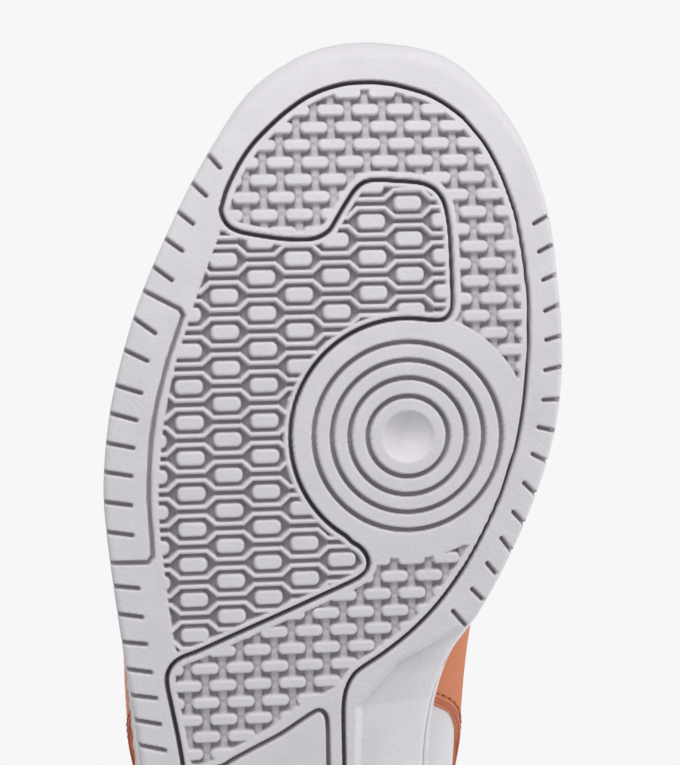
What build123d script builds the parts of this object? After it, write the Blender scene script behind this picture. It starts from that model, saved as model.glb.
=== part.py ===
"""A low court shoe for the right foot, size EU 42.5, taken apart into its separate pieces.

Millimetres. +X points to the toe, +Y to the inner (medial) side, +Z up. The tread stands on z = 0
and x = 0 is half way along the sole. A stitched rubber cup holds a foam midsole, and the leather
upper stands in it. The upper is a stack of thin layers over one foot form: overlays, base panels,
stiffeners and linings. The top of the tongue folds on a hinge line above the laces.
"""
from build123d import *
from math import atan2, cos, degrees, exp, hypot, pi, radians, sin
import os

os.makedirs("parts", exist_ok=True)

# ---------------------------------------------------------------- driving dimensions
RUBBER = 6.0            # thickness of the cup's bottom
WALL_INSET = 5.0        # from the cup's outer face to the foam midsole
WALL_DRAFT = 1.3        # how far the wall leans in between the ground and its top
WALL_REF_HEIGHT = 30.0  # height at which that lean is measured
TOE_SPRING_START = 62.0
TOE_SPRING_RADIUS = 308.0
HEEL_BEVEL_START = -128.0
HEEL_BEVEL_RADIUS = 92.0
MEDIAL_FLARE = 5.5      # the wall leans out at the waist, most on the inner side
LATERAL_FLARE = 4.0
WAIST_X = -29.0
WAIST_LENGTH = 34.0

BOARD = 1.5             # strobel board under the foot
SOCKLINER = 4.5

OVERLAY = 1.4           # leather overlays
BASE = 1.6              # leather vamp and quarters
STIFFENER = 1.2         # toe puff, heel counter, backings
LINING = 1.0
COLLAR_FOAM = 6.0
COLLAR_LINING = 1.2
GLUE = 0.1              # left between glued layers
HALF_LENGTH = 147.0     # of the upper, for drawing its layers in at toe and heel

GROOVE = 1.1            # tread channels
GROOVE_DEPTH = 2.2
STITCH_DROP = 5.0       # from the wall's top edge down to its sewn channel
CHANNEL_HEIGHT = 1.8
THREAD = 0.9
THREAD_COVER = 0.35     # how deep the thread lies in the channel
SLIT_WIDTH = 1.0
SLIT_DEPTH = 2.0
PIVOT_DISC = (53.5, 18.4)
RING_RADII = (10.0, 14.5, 18.9, 23.4)
RING_WIDTH = 1.25
RING_DEPTH = 1.3
DIMPLE_RADIUS = 6.4
DIMPLE_DEPTH = 1.9
BORDER_RADIUS = 29.2    # of the channel round the disc
BORDER_START = 7        # degrees, where that channel starts, and how far it turns
BORDER_TURN = -220

LACE_WIDTH = 7.5
LACE_THICKNESS = 1.3
EYELET_RADIUS = 2.1
HOLE_REACH = 9.0        # half length of a hole's cutter
EYELET_PAIRS = 7
EYELET_FIRST = 38.0     # x of the front pair
EYELET_PITCH = 9.6
LACE_LIFT = 0.6         # of the lace above the leather
LACE_CROSSING = 0.9     # left between runs that cross
EYELET_EDGE = 8.0       # from the throat's edge to a hole's centre

TONGUE_GAP = 0.6        # from the tongue to the lining above it
TONGUE_WING = 9.0       # how far its backing reaches under the eyestays
TONGUE_FACE = (1.6, 2.5)        # insets of each layer's outer and inner face
TONGUE_FOAM = (2.6, 5.9)
TONGUE_BACKING = (6.0, 7.2)
TOP_FACE = (0, 1.0)             # the same in its folding top
TOP_FOAM = (1.1, 5.5)
TOP_BACKING = (5.6, 6.8)
HINGE_X = -25.0
HINGE_Y = -4.5
HINGE_Z = 98.2
TOP_LEAN = 32.0         # how far the tongue's top leans back from upright
TOP_LENGTH = 33.0
TOP_NECK = 15.0         # half widths of the tongue's top
TOP_WIDE = 28.0
TOP_FLARE = 18.0        # how far up it reaches its full width
TOP_CORNER = 9.0
TOP_ARCH = 44.0         # radius that its front is bowed to

REACH = 90.0            # half width of a block that cuts right across the shoe
ENDS = 165.0            # half length of such a block
SKY = 150.0             # a height above everything
BELOW = -2.0            # where cutters of the tread start, under the ground
CUTTER_HEIGHT = 40.0
THROAT_FLOOR = 50.0     # where the lace opening's upright block starts

# ---------------------------------------------------------------- outlines
# The sole's edge on the ground, from the toe tip along the inner side, round the heel and back.
SOLE_EDGE = [
    (151.7, 16), (148.7, 30), (140.9, 40), (127.8, 49), (110, 54.7), (92.5, 56.8), (71, 57.6),
    (52, 55.1), (34, 49), (16, 40.2), (0, 30.6), (-14.5, 24.5), (-30, 22), (-50, 22.6), (-75, 27.5),
    (-100, 32.6), (-122, 33), (-140, 24.5), (-149.5, 9), (-151.5, -7), (-147.5, -24), (-134, -37.6),
    (-112, -44.6), (-85, -46.8), (-55, -47.8), (-27, -49.6), (-10, -51.6), (11, -54.3), (32, -56.5),
    (45, -56.8), (61, -54.9), (76, -51.2), (91, -46), (110, -37.2), (124, -29.4), (138.8, -19.2),
    (147.5, -7.4), (151.3, 3.6),
]

# Side-view curves, as (x, z).
MIDSOLE_TOP = [(-165, 26.9), (-110, 24.5), (-60, 22), (-10, 18.5), (40, 15.5), (80, 15), (115, 19),
               (140, 24), (165, 30.2)]
WALL_TOP = [(-165, 36.6), (-130, 34), (-100, 31.5), (-60, 28.5), (-20, 26.5), (20, 26), (60, 26.5),
            (100, 28.5), (125, 31), (145, 34.5), (165, 38.4)]
TOPLINE = [(-27, 112), (-28, 94), (-37, 87), (-50, 74), (-66, 65.5), (-84, 63.5), (-104, 67.5),
           (-124, 77), (-140, 85.5), (-160, 88)]

# The foot form's outer sections: x, then y on the inner side at the base, at the cup's rim and at
# the widest height, the same on the outer side, and the crown's height and y.
SECTIONS = [
    (-147.0, 6, 7, 6, -19, -20, -19, 112, -6),
    (-140.0, 18, 19.5, 19.5, -27, -28, -28, 113, -6),
    (-127.0, 26, 27.6, 28, -35, -36.5, -37, 114, -6),
    (-108.0, 28.5, 30.5, 31.5, -39.5, -41.3, -42.3, 114, -6),
    (-85.0, 25.5, 27.6, 32.5, -42, -44, -46, 112, -7),
    (-60.0, 21.5, 23.6, 34.5, -44, -46.2, -49.5, 108, -7),
    (-35.0, 20.5, 23, 36.6, -46, -48.6, -53, 102.5, -6),
    (-12.0, 24.5, 27.2, 38.8, -48, -50.2, -54.2, 95.5, -3),
    (10.0, 33, 36, 43, -49.5, -51.6, -54, 88, 1),
    (32.0, 43, 45.4, 48.4, -50.5, -52.7, -53.6, 79.5, 5),
    (55.0, 49.8, 51.6, 52, -50, -51.8, -52, 71, 8),
    (78.0, 51.4, 53, 52.6, -44.6, -46.2, -46, 64.5, 10),
    (100.0, 49.8, 51.3, 50, -35.8, -37.2, -36.4, 60, 12),
    (120.0, 45, 46.6, 44, -25.2, -26.6, -25, 55, 12),
    (134.0, 37.4, 39, 35.6, -16.6, -18, -15.6, 49.5, 12),
    (140.5, 30.4, 31.6, 28, -9.5, -11, -8, 45, 12),
    (144.5, 20.5, 22, 18, 1.5, 0.5, 3.5, 39.5, 12),
]
BASE_Z = 8.0
RIM_Z = 28.0
WIDE_Z = 42.0
LEAST_RISE = 6.0        # of a section above the rim
CROWN_POWER = 2.3       # roundness of the arch above the widest height

THROAT_FRONT = 50.0
THROAT_SIDE = [(-24, 17), (0, 14), (25, 11.5), (42, 9.5)]   # x and half width of the lace opening
THROAT_LINE = [(-72, -7), (-24, -5), (25, 4), (50, 8)]      # its middle line, as x and y
THROAT_BACK = -72.0
EYESTAY_WIDTH = 19.0

# Side-view borders of the panels, as (x, z).
VAMP = [(36, 0), (36, 45), (48, 66), (54, SKY), (165, SKY), (165, 0)]
QUARTERS = [(36, 0), (36, 45), (48, 66), (54, SKY), (-165, SKY), (-165, 0)]
TOE_OVERLAY = [(34, 0), (34, 41), (60, 42), (88, 47), (108, 54), (120, 64), (165, 64), (165, 0)]
SADDLE = [(34, 0), (34, 45), (46, 66), (52, SKY), (-60, SKY), (-78, 66), (-62, 56.5), (-48, 51),
          (-37, 45), (-26, 36), (-19, 27), (-17, 0)]
HEEL_OVERLAY = [(-165, 0), (-90, 0), (-90, 30), (-99, 46), (-116, 60), (-165, 66)]
HEEL_TAB = [(-165, 66), (-116, 60), (-111, 76), (-165, 110)]
TOE_PUFF = [(104, 0), (112, SKY), (165, SKY), (165, 0)]
HEEL_COUNTER = [(-165, 0), (-76, 0), (-84, 40), (-100, 62), (-165, 70)]
SIDE_BACKING = [(104, 0), (112, SKY), (-165, SKY), (-165, 70), (-100, 62), (-84, 40), (-76, 0)]
VAMP_LINING = [(40, 0), (52, SKY), (165, SKY), (165, 0)]
COLLAR_LINE = [(-165, 64), (-140, 61), (-124, 53), (-104, 44), (-84, 40), (-66, 42), (-50, 51), (-20, 70)]
COLLAR_FRONT = -30.0

# The insets of the layers' outer faces, counted from the outside of the overlays.
base_inset = OVERLAY
stiffener_inset = base_inset + BASE
lining_inset = stiffener_inset + STIFFENER

# Tread channels, seen from below, as (x, y).
PERIMETER = [
    (110.5, -26.5), (116, -24.6), (125, -19), (133, -11), (139, -1.5), (141.3, 9), (140.5, 19),
    (136.6, 29), (129, 37.2), (117, 43.9), (103, 47.5), (86.6, 49.2), (75, 49), (58, 47.2),
    (46.9, 44.5), (35, 40.1), (25.8, 35.4), (13.7, 27.4), (4.2, 18), (-2.7, 8.3), (-9.5, 2.2),
    (-17, 1), (-50, 1), (-62, 3.5), (-76, 11), (-94, 20.5), (-114, 23.5), (-131, 17), (-140, 4),
    (-141.5, -8), (-137.5, -22), (-126, -31.5), (-108, -36.5), (-85, -38), (-60, -38.2), (-26.6, -39.3),
    (-10, -42), (-4.6, -42.6), (-0.7, -40.3), (1.8, -34.3), (8, -19.4), (14.2, -4.4), (18.8, 5.9),
    (22.3, 8), (26.3, 6.2), (28.9, 2.6),
]
TOE_PARTITION = [
    (110.5, -26.5), (106, -24.6), (104, -19.5), (102.8, -11), (103, -3), (107, 1.7), (114.5, 6.7),
    (116.9, 12), (116.3, 21.7), (112.4, 28.3), (106, 29.8), (95, 30.2), (86, 30.1), (82.6, 27.1),
    (82.4, 22),
]
WAIST_PANEL = [(-24, -22.6), (-15.2, -7), (-15, -4), (-18, -3), (-60, -3), (-64, -5), (-62, -9),
               (-50, -29), (-46, -31), (-30, -32), (-27, -30)]

# Edge slits, as (x, heading in degrees) between which the rest are spread evenly.
OUTER_SLITS = [(-138, 55), (-110, 85), (-60, 97), (0, 100), (45, 100), (90, 123), (124, 139)]
INNER_SLITS = [(-138, -60), (-110, -85), (-85, -75), (5, -39), (36, -44), (46, -62), (62, -93),
               (85, -113), (108, -120)]
INNER_PLAIN = (-85, 5)  # no slits beside the arch, between these x
SLIT_PITCH = 7.1
SLIT_LENGTH = 6.2
INNER_SLIT_LENGTH = 3.6


# The upright plane along the shoe's middle, facing the inner side.
AXIS_TURN = degrees(atan2(19, 293))
MIDDLE = Plane(origin=(0, 3.5, 0), x_dir=(cos(radians(AXIS_TURN)), sin(radians(AXIS_TURN)), 0),
               z_dir=(-sin(radians(AXIS_TURN)), cos(radians(AXIS_TURN)), 0))


# ---------------------------------------------------------------- helpers
def between(stations, x):
    """Straight-line value at x in a list of (x, value) that rises in x."""
    low = stations[0]
    for high in stations[1:]:
        if x <= high[0]:
            break
        low = high
    if x <= low[0] or high is low:
        return low[1]
    share = (x - low[0]) / (high[0] - low[0])
    return low[1] + share * (high[1] - low[1])


def moved_in(points, distance):
    """A closed outline's points, each moved inwards, square to the line through its neighbours."""
    result = []
    for index, (x, y) in enumerate(points):
        x_back, y_back = points[index - 1]
        x_next, y_next = points[(index + 1) % len(points)]
        length = hypot(x_next - x_back, y_next - y_back)
        result.append((x - distance * (y_next - y_back) / length, y + distance * (x_next - x_back) / length))
    return result


def flared(points):
    """The sole's edge at the reference height: drawn in by the draft and let out at the waist."""
    result = []
    for x, y in moved_in(points, WALL_DRAFT):
        waist = exp(-(((x - WAIST_X) / WAIST_LENGTH) ** 2))
        result.append((x, y + waist * (MEDIAL_FLARE if y > 0 else -LATERAL_FLARE)))
    return result


def sole_block(inset):
    """The sole's full-height block with its leaning wall, smaller all round by inset."""
    ground = moved_in(SOLE_EDGE, inset)
    top = moved_in(flared(SOLE_EDGE), inset)
    with BuildPart() as block:
        with BuildSketch(Plane.XY.offset(-1)):
            with BuildLine():
                Spline(*ground, periodic=True)
            make_face()
        with BuildSketch(Plane.XY.offset(WALL_REF_HEIGHT + 12)):
            with BuildLine():
                Spline(*top, periodic=True)
            make_face()
        loft()
    return block.part


def ground_line(height):
    """Draws the ground line raised by height: flat, with a toe spring and a heel bevel."""
    toe_arc = 17.5
    heel_arc = 17.0
    toe = CenterArc((TOE_SPRING_START, TOE_SPRING_RADIUS), TOE_SPRING_RADIUS - height, -90, toe_arc)
    heel = CenterArc((HEEL_BEVEL_START, HEEL_BEVEL_RADIUS), HEEL_BEVEL_RADIUS - height, -90, -heel_arc)
    Line(heel @ 0, toe @ 0)
    return heel @ 1, toe @ 1


def above_ground(height):
    """Everything higher than the ground line raised by height."""
    with BuildPart() as block:
        with BuildSketch(Plane.XZ):
            with BuildLine():
                back, front = ground_line(height)
                Polyline(back, (back.X, SKY), (front.X, SKY), front)
            make_face()
        extrude(amount=REACH, both=True)
    return block.part


def ground_slab(height, thickness):
    """A layer that follows the ground line, from height to height + thickness above it."""
    with BuildPart() as slab:
        with BuildSketch(Plane.XZ):
            with BuildLine():
                low_back, low_front = ground_line(height)
                high_back, high_front = ground_line(height + thickness)
                Line(low_back, high_back)
                Line(low_front, high_front)
            make_face()
        extrude(amount=REACH, both=True)
    return slab.part


def side_slab(lower, upper):
    """A block across the shoe between two side-view curves given as lists of (x, z)."""
    with BuildPart() as slab:
        with BuildSketch(Plane.XZ):
            with BuildLine():
                low = Spline(*lower)
                high = Spline(*upper)
                Line(low @ 0, high @ 0)
                Line(low @ 1, high @ 1)
            make_face()
        extrude(amount=REACH, both=True)
    return slab.part


def raised(points, height):
    """Side-view points moved up by height."""
    return [(x, z + height) for x, z in points]


def side_panel(points, side):
    """A block with the given side-view outline on one half of the shoe: +1 inner, -1 outer, 0 both."""
    with BuildPart() as panel:
        with BuildSketch(Plane.XZ):
            with BuildLine():
                Polyline(*points, close=True)
            make_face()
        extrude(amount=REACH, both=True)
        if side:
            split(bisect_by=MIDDLE, keep=Keep.TOP if side > 0 else Keep.BOTTOM)
    return panel.part


def widest_z(crown):
    """The height of a section's widest place, lower where the toe is low."""
    return min(WIDE_Z, (RIM_Z + crown) / 2)


def foot_form(inset):
    """The foot form, smaller all round by inset, lofted through its sections from heel to toe."""
    with BuildPart() as form:
        for x, *widths, crown, middle in SECTIONS:
            in_low, in_rim, in_wide = [max(width - inset, middle + 1) for width in widths[:3]]
            out_low, out_rim, out_wide = [min(width + inset, middle - 1) for width in widths[3:]]
            top = max(crown - inset, RIM_Z + LEAST_RISE)
            wide_z = widest_z(top)
            rise = top - wide_z
            arch = [(in_low, BASE_Z), (in_rim, RIM_Z), (in_wide, wide_z)]
            for step in range(1, 6):
                angle = step * pi / 6
                reach = abs(cos(angle)) ** (2 / CROWN_POWER)
                wide = in_wide if step < 3 else out_wide
                arch.append((middle + (wide - middle) * reach, wide_z + rise * sin(angle) ** (2 / CROWN_POWER)))
            arch += [(out_wide, wide_z), (out_rim, RIM_Z), (out_low, BASE_Z)]
            spacing = [step / (len(arch) - 1) for step in range(len(arch))]
            with BuildSketch(Plane.YZ.offset(x * (1 - inset / HALF_LENGTH))):
                with BuildLine():
                    over = Edge.make_spline([Vector(*point) for point in arch], parameters=spacing)
                    add(over)
                    Line(over @ 1, over @ 0)
                make_face()
        loft()
    return form.part


def trimmed(layer, keep=(), drop=()):
    """A layer kept inside some blocks and cut away by others."""
    with BuildPart() as piece:
        add(layer)
        for block in keep:
            add(block, mode=Mode.INTERSECT)
        for block in drop:
            add(block, mode=Mode.SUBTRACT)
    return piece


def throat_block(margin):
    """The lace opening as an upright block, wider all round by margin."""
    side = [(x, between(THROAT_LINE, x) + half + margin) for x, half in THROAT_SIDE]
    other = [(x, between(THROAT_LINE, x) - half - margin) for x, half in reversed(THROAT_SIDE)]
    tip = (THROAT_FRONT + margin, between(THROAT_LINE, THROAT_FRONT))
    back = THROAT_BACK
    middle = between(THROAT_LINE, back)
    half = THROAT_SIDE[0][1] + margin
    with BuildPart() as block:
        with BuildSketch(Plane.XY.offset(THROAT_FLOOR)):
            with BuildLine():
                rim = Spline((back, middle + half), *side, tip, *other, (back, middle - half))
                Line(rim @ 1, rim @ 0)
            make_face()
        extrude(amount=SKY - THROAT_FLOOR)
    return block.part


def upper_limits():
    """The block that holds the upper: above the midsole and below the topline round the ankle."""
    with BuildPart() as block:
        with BuildSketch(Plane.XZ):
            with BuildLine():
                floor = Spline(*raised(MIDSOLE_TOP, GLUE))
                edge = Spline(*TOPLINE)
                Polyline(floor @ 0, edge @ 1)
                Polyline(edge @ 0, (160, SKY), floor @ 1)
            make_face()
        extrude(amount=REACH, both=True)
    return block.part


def collar_band():
    """The block of the padded band below the topline, behind the laces."""
    with BuildPart() as padded:
        add(side_slab(COLLAR_LINE, [(x, SKY) for x in (-ENDS, -80, -20)]))
        split(bisect_by=Plane.YZ.offset(COLLAR_FRONT), keep=Keep.BOTTOM)
    return padded.part


def crown_z(x, y):
    """The height of the foot form's outside above the point (x, y)."""
    columns = list(zip(*SECTIONS))
    value = [between(list(zip(columns[0], column)), x) for column in columns]
    in_wide, out_wide, crown, middle = value[3], value[6], value[7], value[8]
    wide = in_wide - middle if y > middle else middle - out_wide
    share = min(abs(y - middle) / wide, 1)
    wide_z = widest_z(crown)
    return wide_z + (crown - wide_z) * (1 - share ** CROWN_POWER) ** (1 / CROWN_POWER)


def channel(points, width, depth):
    """A tread channel of constant depth along a curve through the points."""
    with BuildPart() as groove:
        with BuildSketch(Plane.XY.offset(BELOW)):
            with BuildLine():
                Spline(*points)
            trace(line_width=width)
        extrude(amount=CUTTER_HEIGHT)
        add(ground_slab(BELOW, depth - BELOW), mode=Mode.INTERSECT)
    return groove.part


def closed_channel(points, width, depth):
    """A tread channel of constant depth that runs round a closed outline."""
    with BuildPart() as groove:
        with BuildSketch(Plane.XY.offset(BELOW)):
            with BuildLine():
                Spline(*moved_in(points, -width / 2), periodic=True)
            make_face()
            with BuildLine():
                Spline(*moved_in(points, width / 2), periodic=True)
            make_face(mode=Mode.SUBTRACT)
        extrude(amount=CUTTER_HEIGHT)
        add(ground_slab(BELOW, depth - BELOW), mode=Mode.INTERSECT)
    return groove.part


# ---------------------------------------------------------------- sole
def edge_slits():
    """Short slits that cross the sole's edge, fanned out round it."""
    inner_edge = sorted(SOLE_EDGE[:19])
    outer_edge = sorted(SOLE_EDGE[19:])
    rows = [(outer_edge, OUTER_SLITS, SLIT_LENGTH), (inner_edge, INNER_SLITS, INNER_SLIT_LENGTH)]
    overhang = 4.0
    with BuildPart() as slits:
        for edge, headings, length in rows:
            count = int((headings[-1][0] - headings[0][0]) / SLIT_PITCH)
            for index in range(count + 1):
                x = headings[-1][0] - index * SLIT_PITCH
                if edge is inner_edge and INNER_PLAIN[0] < x < INNER_PLAIN[1]:
                    continue
                heading = between(headings, x)
                reach = (length - overhang) / 2
                place = Location((x, between(edge, x), 0), (0, 0, heading))
                with Locations(place * Location((reach, 0, 0))):
                    Box(length + overhang, SLIT_WIDTH, 2 * CUTTER_HEIGHT)
        add(ground_slab(BELOW, SLIT_DEPTH - BELOW), mode=Mode.INTERSECT)
    return slits.part


def waist_scoop():
    """The hollow under the arch, where the rubber rises from the tread to the wall's flared edge."""
    stations = [(8, 35, 37), (-3, 14, 31), (-14, 4.2, 27), (-30, 3.4, 24), (-50, 3.6, 24),
                (-64, 8, 27), (-80, 28, 30)]
    with BuildPart() as scoop:
        for x, near, far in stations:
            width = far - near
            with BuildSketch(Plane.YZ.offset(x)):
                with BuildLine():
                    Polyline((near, -3), (near, 2), (near + 0.66 * width, 4.4), (far - 0.5, 9.5),
                             (far + 14, 30), (far + 14, -3), close=True)
                make_face()
        loft(ruled=True)
    return scoop.part


def pivot_disc_rings():
    """The round grooves and the dimple of the turning disc under the ball of the foot."""
    dimple_sphere = (DIMPLE_RADIUS ** 2 + DIMPLE_DEPTH ** 2) / (2 * DIMPLE_DEPTH)
    with BuildPart() as rings:
        with BuildSketch(Plane.XY.offset(BELOW)):
            with Locations(PIVOT_DISC):
                for radius in RING_RADII:
                    Circle(radius + RING_WIDTH / 2)
                    Circle(radius - RING_WIDTH / 2, mode=Mode.SUBTRACT)
        extrude(amount=CUTTER_HEIGHT)
        add(ground_slab(BELOW, RING_DEPTH - BELOW), mode=Mode.INTERSECT)
        with Locations((*PIVOT_DISC, DIMPLE_DEPTH - dimple_sphere)):
            Sphere(dimple_sphere, rotation=(90, 0, 0))
    return rings.part


def disc_border():
    """The channel round the turning disc, open on its inner side."""
    with BuildPart() as border:
        with BuildSketch(Plane.XY.offset(BELOW)):
            with BuildLine():
                CenterArc(PIVOT_DISC, BORDER_RADIUS, BORDER_START, BORDER_TURN)
            trace(line_width=GROOVE)
        extrude(amount=CUTTER_HEIGHT)
        add(ground_slab(BELOW, GROOVE_DEPTH - BELOW), mode=Mode.INTERSECT)
    return border.part


flat_below = [(x, -20) for x in (-ENDS, 0, ENDS)]
flat_above = [(x, SKY) for x in (-ENDS, 0, ENDS)]
sole = trimmed(sole_block(0), keep=[above_ground(0)]).part
above_midsole = side_slab(MIDSOLE_TOP, flat_above)

with BuildPart() as midsole_foam:
    add(sole_block(WALL_INSET + GLUE))
    add(above_ground(RUBBER + GLUE), mode=Mode.INTERSECT)
    add(side_slab(flat_below, MIDSOLE_TOP), mode=Mode.INTERSECT)

with BuildPart() as outsole:
    add(sole)
    add(ground_slab(0, RUBBER), mode=Mode.INTERSECT)
    for cut in (channel(PERIMETER, GROOVE, GROOVE_DEPTH), channel(TOE_PARTITION, GROOVE, GROOVE_DEPTH),
                closed_channel(WAIST_PANEL, GROOVE, GROOVE_DEPTH), disc_border(),
                pivot_disc_rings(), edge_slits(), waist_scoop()):
        add(cut, mode=Mode.SUBTRACT)

stitch_line = raised(WALL_TOP, -STITCH_DROP)
with BuildPart() as sidewall_stitching:
    add(sole_block(THREAD_COVER))
    add(sole_block(THREAD_COVER + THREAD), mode=Mode.SUBTRACT)
    add(side_slab(raised(stitch_line, -THREAD / 2), raised(stitch_line, THREAD / 2)), mode=Mode.INTERSECT)

with BuildPart() as stitch_channel:
    add(sole_block(-1))
    add(sole_block(THREAD_COVER + THREAD + GLUE), mode=Mode.SUBTRACT)
    add(side_slab(raised(stitch_line, -CHANNEL_HEIGHT / 2), raised(stitch_line, CHANNEL_HEIGHT / 2)),
        mode=Mode.INTERSECT)

core = trimmed(sole_block(WALL_INSET), keep=[side_slab(flat_below, MIDSOLE_TOP)]).part
upper_room = trimmed(foot_form(-GLUE), keep=[above_midsole]).part
cup_sidewall = trimmed(sole, keep=[above_ground(RUBBER), side_slab(flat_below, WALL_TOP)],
                       drop=[core, upper_room, stitch_channel.part, waist_scoop()])

strobel_board = trimmed(foot_form(lining_inset + LINING + GLUE), keep=[
    side_slab(raised(MIDSOLE_TOP, GLUE), raised(MIDSOLE_TOP, BOARD))])
sockliner = trimmed(foot_form(lining_inset + LINING + 3 * GLUE), keep=[
    side_slab(raised(MIDSOLE_TOP, BOARD + GLUE), raised(MIDSOLE_TOP, BOARD + SOCKLINER))])

# ---------------------------------------------------------------- upper
limits = upper_limits()
throat = throat_block(0)
eyestay_area = throat_block(EYESTAY_WIDTH)
band = collar_band()


def layer(inset, thickness):
    """A layer of the upper, inside its limits and open at the throat."""
    return trimmed(foot_form(inset), keep=[limits], drop=[foot_form(inset + thickness - GLUE), throat]).part


overlay_layer = layer(0, OVERLAY)
base_layer = layer(base_inset, BASE)
stiff_layer = layer(stiffener_inset, STIFFENER)
lining_layer = layer(lining_inset, LINING)
collar_layer = layer(lining_inset, COLLAR_FOAM)
collar_lining_layer = layer(lining_inset + COLLAR_FOAM, COLLAR_LINING)

pieces = {
    "outsole": outsole,
    "cup_sidewall": cup_sidewall,
    "midsole_foam": midsole_foam,
    "sidewall_stitching": sidewall_stitching,
    "strobel_board": strobel_board,
    "sockliner": sockliner,
    "vamp": trimmed(base_layer, keep=[side_panel(VAMP, 0)]),
    "toe_overlay": trimmed(overlay_layer, keep=[side_panel(TOE_OVERLAY, 0)]),
    "heel_overlay": trimmed(overlay_layer, keep=[side_panel(HEEL_OVERLAY, 0)]),
    "heel_tab": trimmed(overlay_layer, keep=[side_panel(HEEL_TAB, 0)]),
    "toe_puff": trimmed(stiff_layer, keep=[side_panel(TOE_PUFF, 0)]),
    "heel_counter": trimmed(stiff_layer, keep=[side_panel(HEEL_COUNTER, 0)]),
    "vamp_lining": trimmed(lining_layer, keep=[side_panel(VAMP_LINING, 0)]),
    "collar_foam": trimmed(collar_layer, keep=[band]),
    "collar_lining": trimmed(collar_lining_layer, keep=[band]),
}
for side_name, side in (("medial", 1), ("lateral", -1)):
    quarter = side_panel(QUARTERS, side)
    eyestay = trimmed(eyestay_area, keep=[side_panel(SADDLE, side)]).part
    pieces["quarter_" + side_name] = trimmed(base_layer, keep=[quarter])
    pieces["saddle_" + side_name] = trimmed(overlay_layer, keep=[side_panel(SADDLE, side)], drop=[eyestay_area])
    pieces["eyestay_" + side_name] = trimmed(overlay_layer, keep=[eyestay])
    pieces["eyestay_backing_" + side_name] = trimmed(stiff_layer, keep=[eyestay])
    pieces["side_backing_" + side_name] = trimmed(
        stiff_layer, keep=[side_panel(SIDE_BACKING, side)], drop=[eyestay])
    pieces["quarter_lining_" + side_name] = trimmed(
        lining_layer, keep=[quarter], drop=[side_panel(VAMP_LINING, 0), band])


# ---------------------------------------------------------------- tongue
def tongue_part(outer_inset, inner_inset, margin):
    """A layer of the fixed tongue, from its front end back to the hinge."""
    with BuildPart() as part:
        add(trimmed(foot_form(outer_inset), keep=[limits, throat_block(margin)],
                    drop=[foot_form(inner_inset)]).part)
        split(bisect_by=Plane.YZ.offset(HINGE_X), keep=Keep.TOP)
    return part


def tongue_top_part(outer, inner):
    """A layer of the tongue's folding top: an arched strip, narrow at the hinge and wide above."""
    across = Plane(origin=(HINGE_X, HINGE_Y, HINGE_Z), x_dir=(0, -1, 0),
                   z_dir=(-sin(radians(TOP_LEAN)), 0, cos(radians(TOP_LEAN))))
    face = Plane(origin=across.origin, x_dir=(0, 1, 0), z_dir=across.y_dir)
    with BuildPart() as part:
        with BuildSketch(across):
            with Locations((0, -TOP_ARCH)):
                Circle(TOP_ARCH - outer)
                Circle(TOP_ARCH - inner, mode=Mode.SUBTRACT)
                Rectangle(4 * TOP_ARCH, 2 * TOP_ARCH, align=(Align.CENTER, Align.MAX), mode=Mode.SUBTRACT)
        extrude(amount=TOP_LENGTH)
        with BuildSketch(face, mode=Mode.PRIVATE) as outline:
            with BuildLine():
                Polyline((-TOP_NECK, 0), (-TOP_WIDE, TOP_FLARE), (-TOP_WIDE, TOP_LENGTH),
                         (TOP_WIDE, TOP_LENGTH), (TOP_WIDE, TOP_FLARE), (TOP_NECK, 0), close=True)
            make_face()
            fillet(outline.vertices().group_by(Axis.Y)[-1], radius=TOP_CORNER)
        extrude(outline.sketch, amount=TOP_ARCH, both=True, mode=Mode.INTERSECT)
    return part


# ---------------------------------------------------------------- lace
def eyelets():
    """Where the lace passes through the upper, front to top: one (outer, inner) pair a row."""
    rows = []
    for index in range(EYELET_PAIRS):
        x = EYELET_FIRST - EYELET_PITCH * index
        middle = between(THROAT_LINE, x)
        reach = between(THROAT_SIDE, x) + EYELET_EDGE
        rows.append([Vector(x, middle + side * reach, crown_z(x, middle + side * reach)) for side in (-1, 1)])
    return rows


def lace_run(start, end, lift):
    """A flat stretch of lace that arches over the tongue from one eyelet to another."""
    along = (end - start).normalized()
    level = Vector(0.34, 0, 0.94)
    across = level.cross(along).normalized()
    up = along.cross(across)
    middle = (start + end) * 0.5
    rise = (crown_z(middle.X, between(THROAT_LINE, middle.X)) - middle.Z) * up.Z + lift
    half = (end - start).length / 2
    foot = LACE_LIFT
    with BuildPart() as run:
        with BuildSketch(Plane(origin=middle, x_dir=along, z_dir=-across)):
            with BuildLine():
                low = ThreePointArc((-half, foot), (0, rise), (half, foot))
                high = ThreePointArc((-half, foot + LACE_THICKNESS), (0, rise + LACE_THICKNESS),
                                     (half, foot + LACE_THICKNESS))
                Line(low @ 0, high @ 0)
                Line(low @ 1, high @ 1)
            make_face()
        extrude(amount=LACE_WIDTH / 2, both=True)
    return run.part


def laced(rows):
    """The whole lace: a straight bar at the front, then runs that cross, one over the other."""
    with BuildPart() as lacing:
        add(lace_run(rows[0][0], rows[0][1], LACE_LIFT))
        for low, high in zip(rows, rows[1:]):
            add(lace_run(low[0], high[1], LACE_LIFT))
            add(lace_run(low[1], high[0], LACE_LIFT + LACE_THICKNESS + LACE_CROSSING))
    return lacing


def eyelet_holes(rows):
    """Round holes through every layer of the eyestays, square to the leather."""
    with BuildPart() as holes:
        for row in rows:
            for place in row:
                x, y = place.X, place.Y
                step = 1.0
                slope_x = (crown_z(x + step, y) - crown_z(x - step, y)) / (2 * step)
                slope_y = (crown_z(x, y + step) - crown_z(x, y - step)) / (2 * step)
                with BuildSketch(Plane(origin=place, z_dir=(-slope_x, -slope_y, 1))):
                    Circle(EYELET_RADIUS)
                extrude(amount=HOLE_REACH, both=True)
    return holes.part


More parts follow.
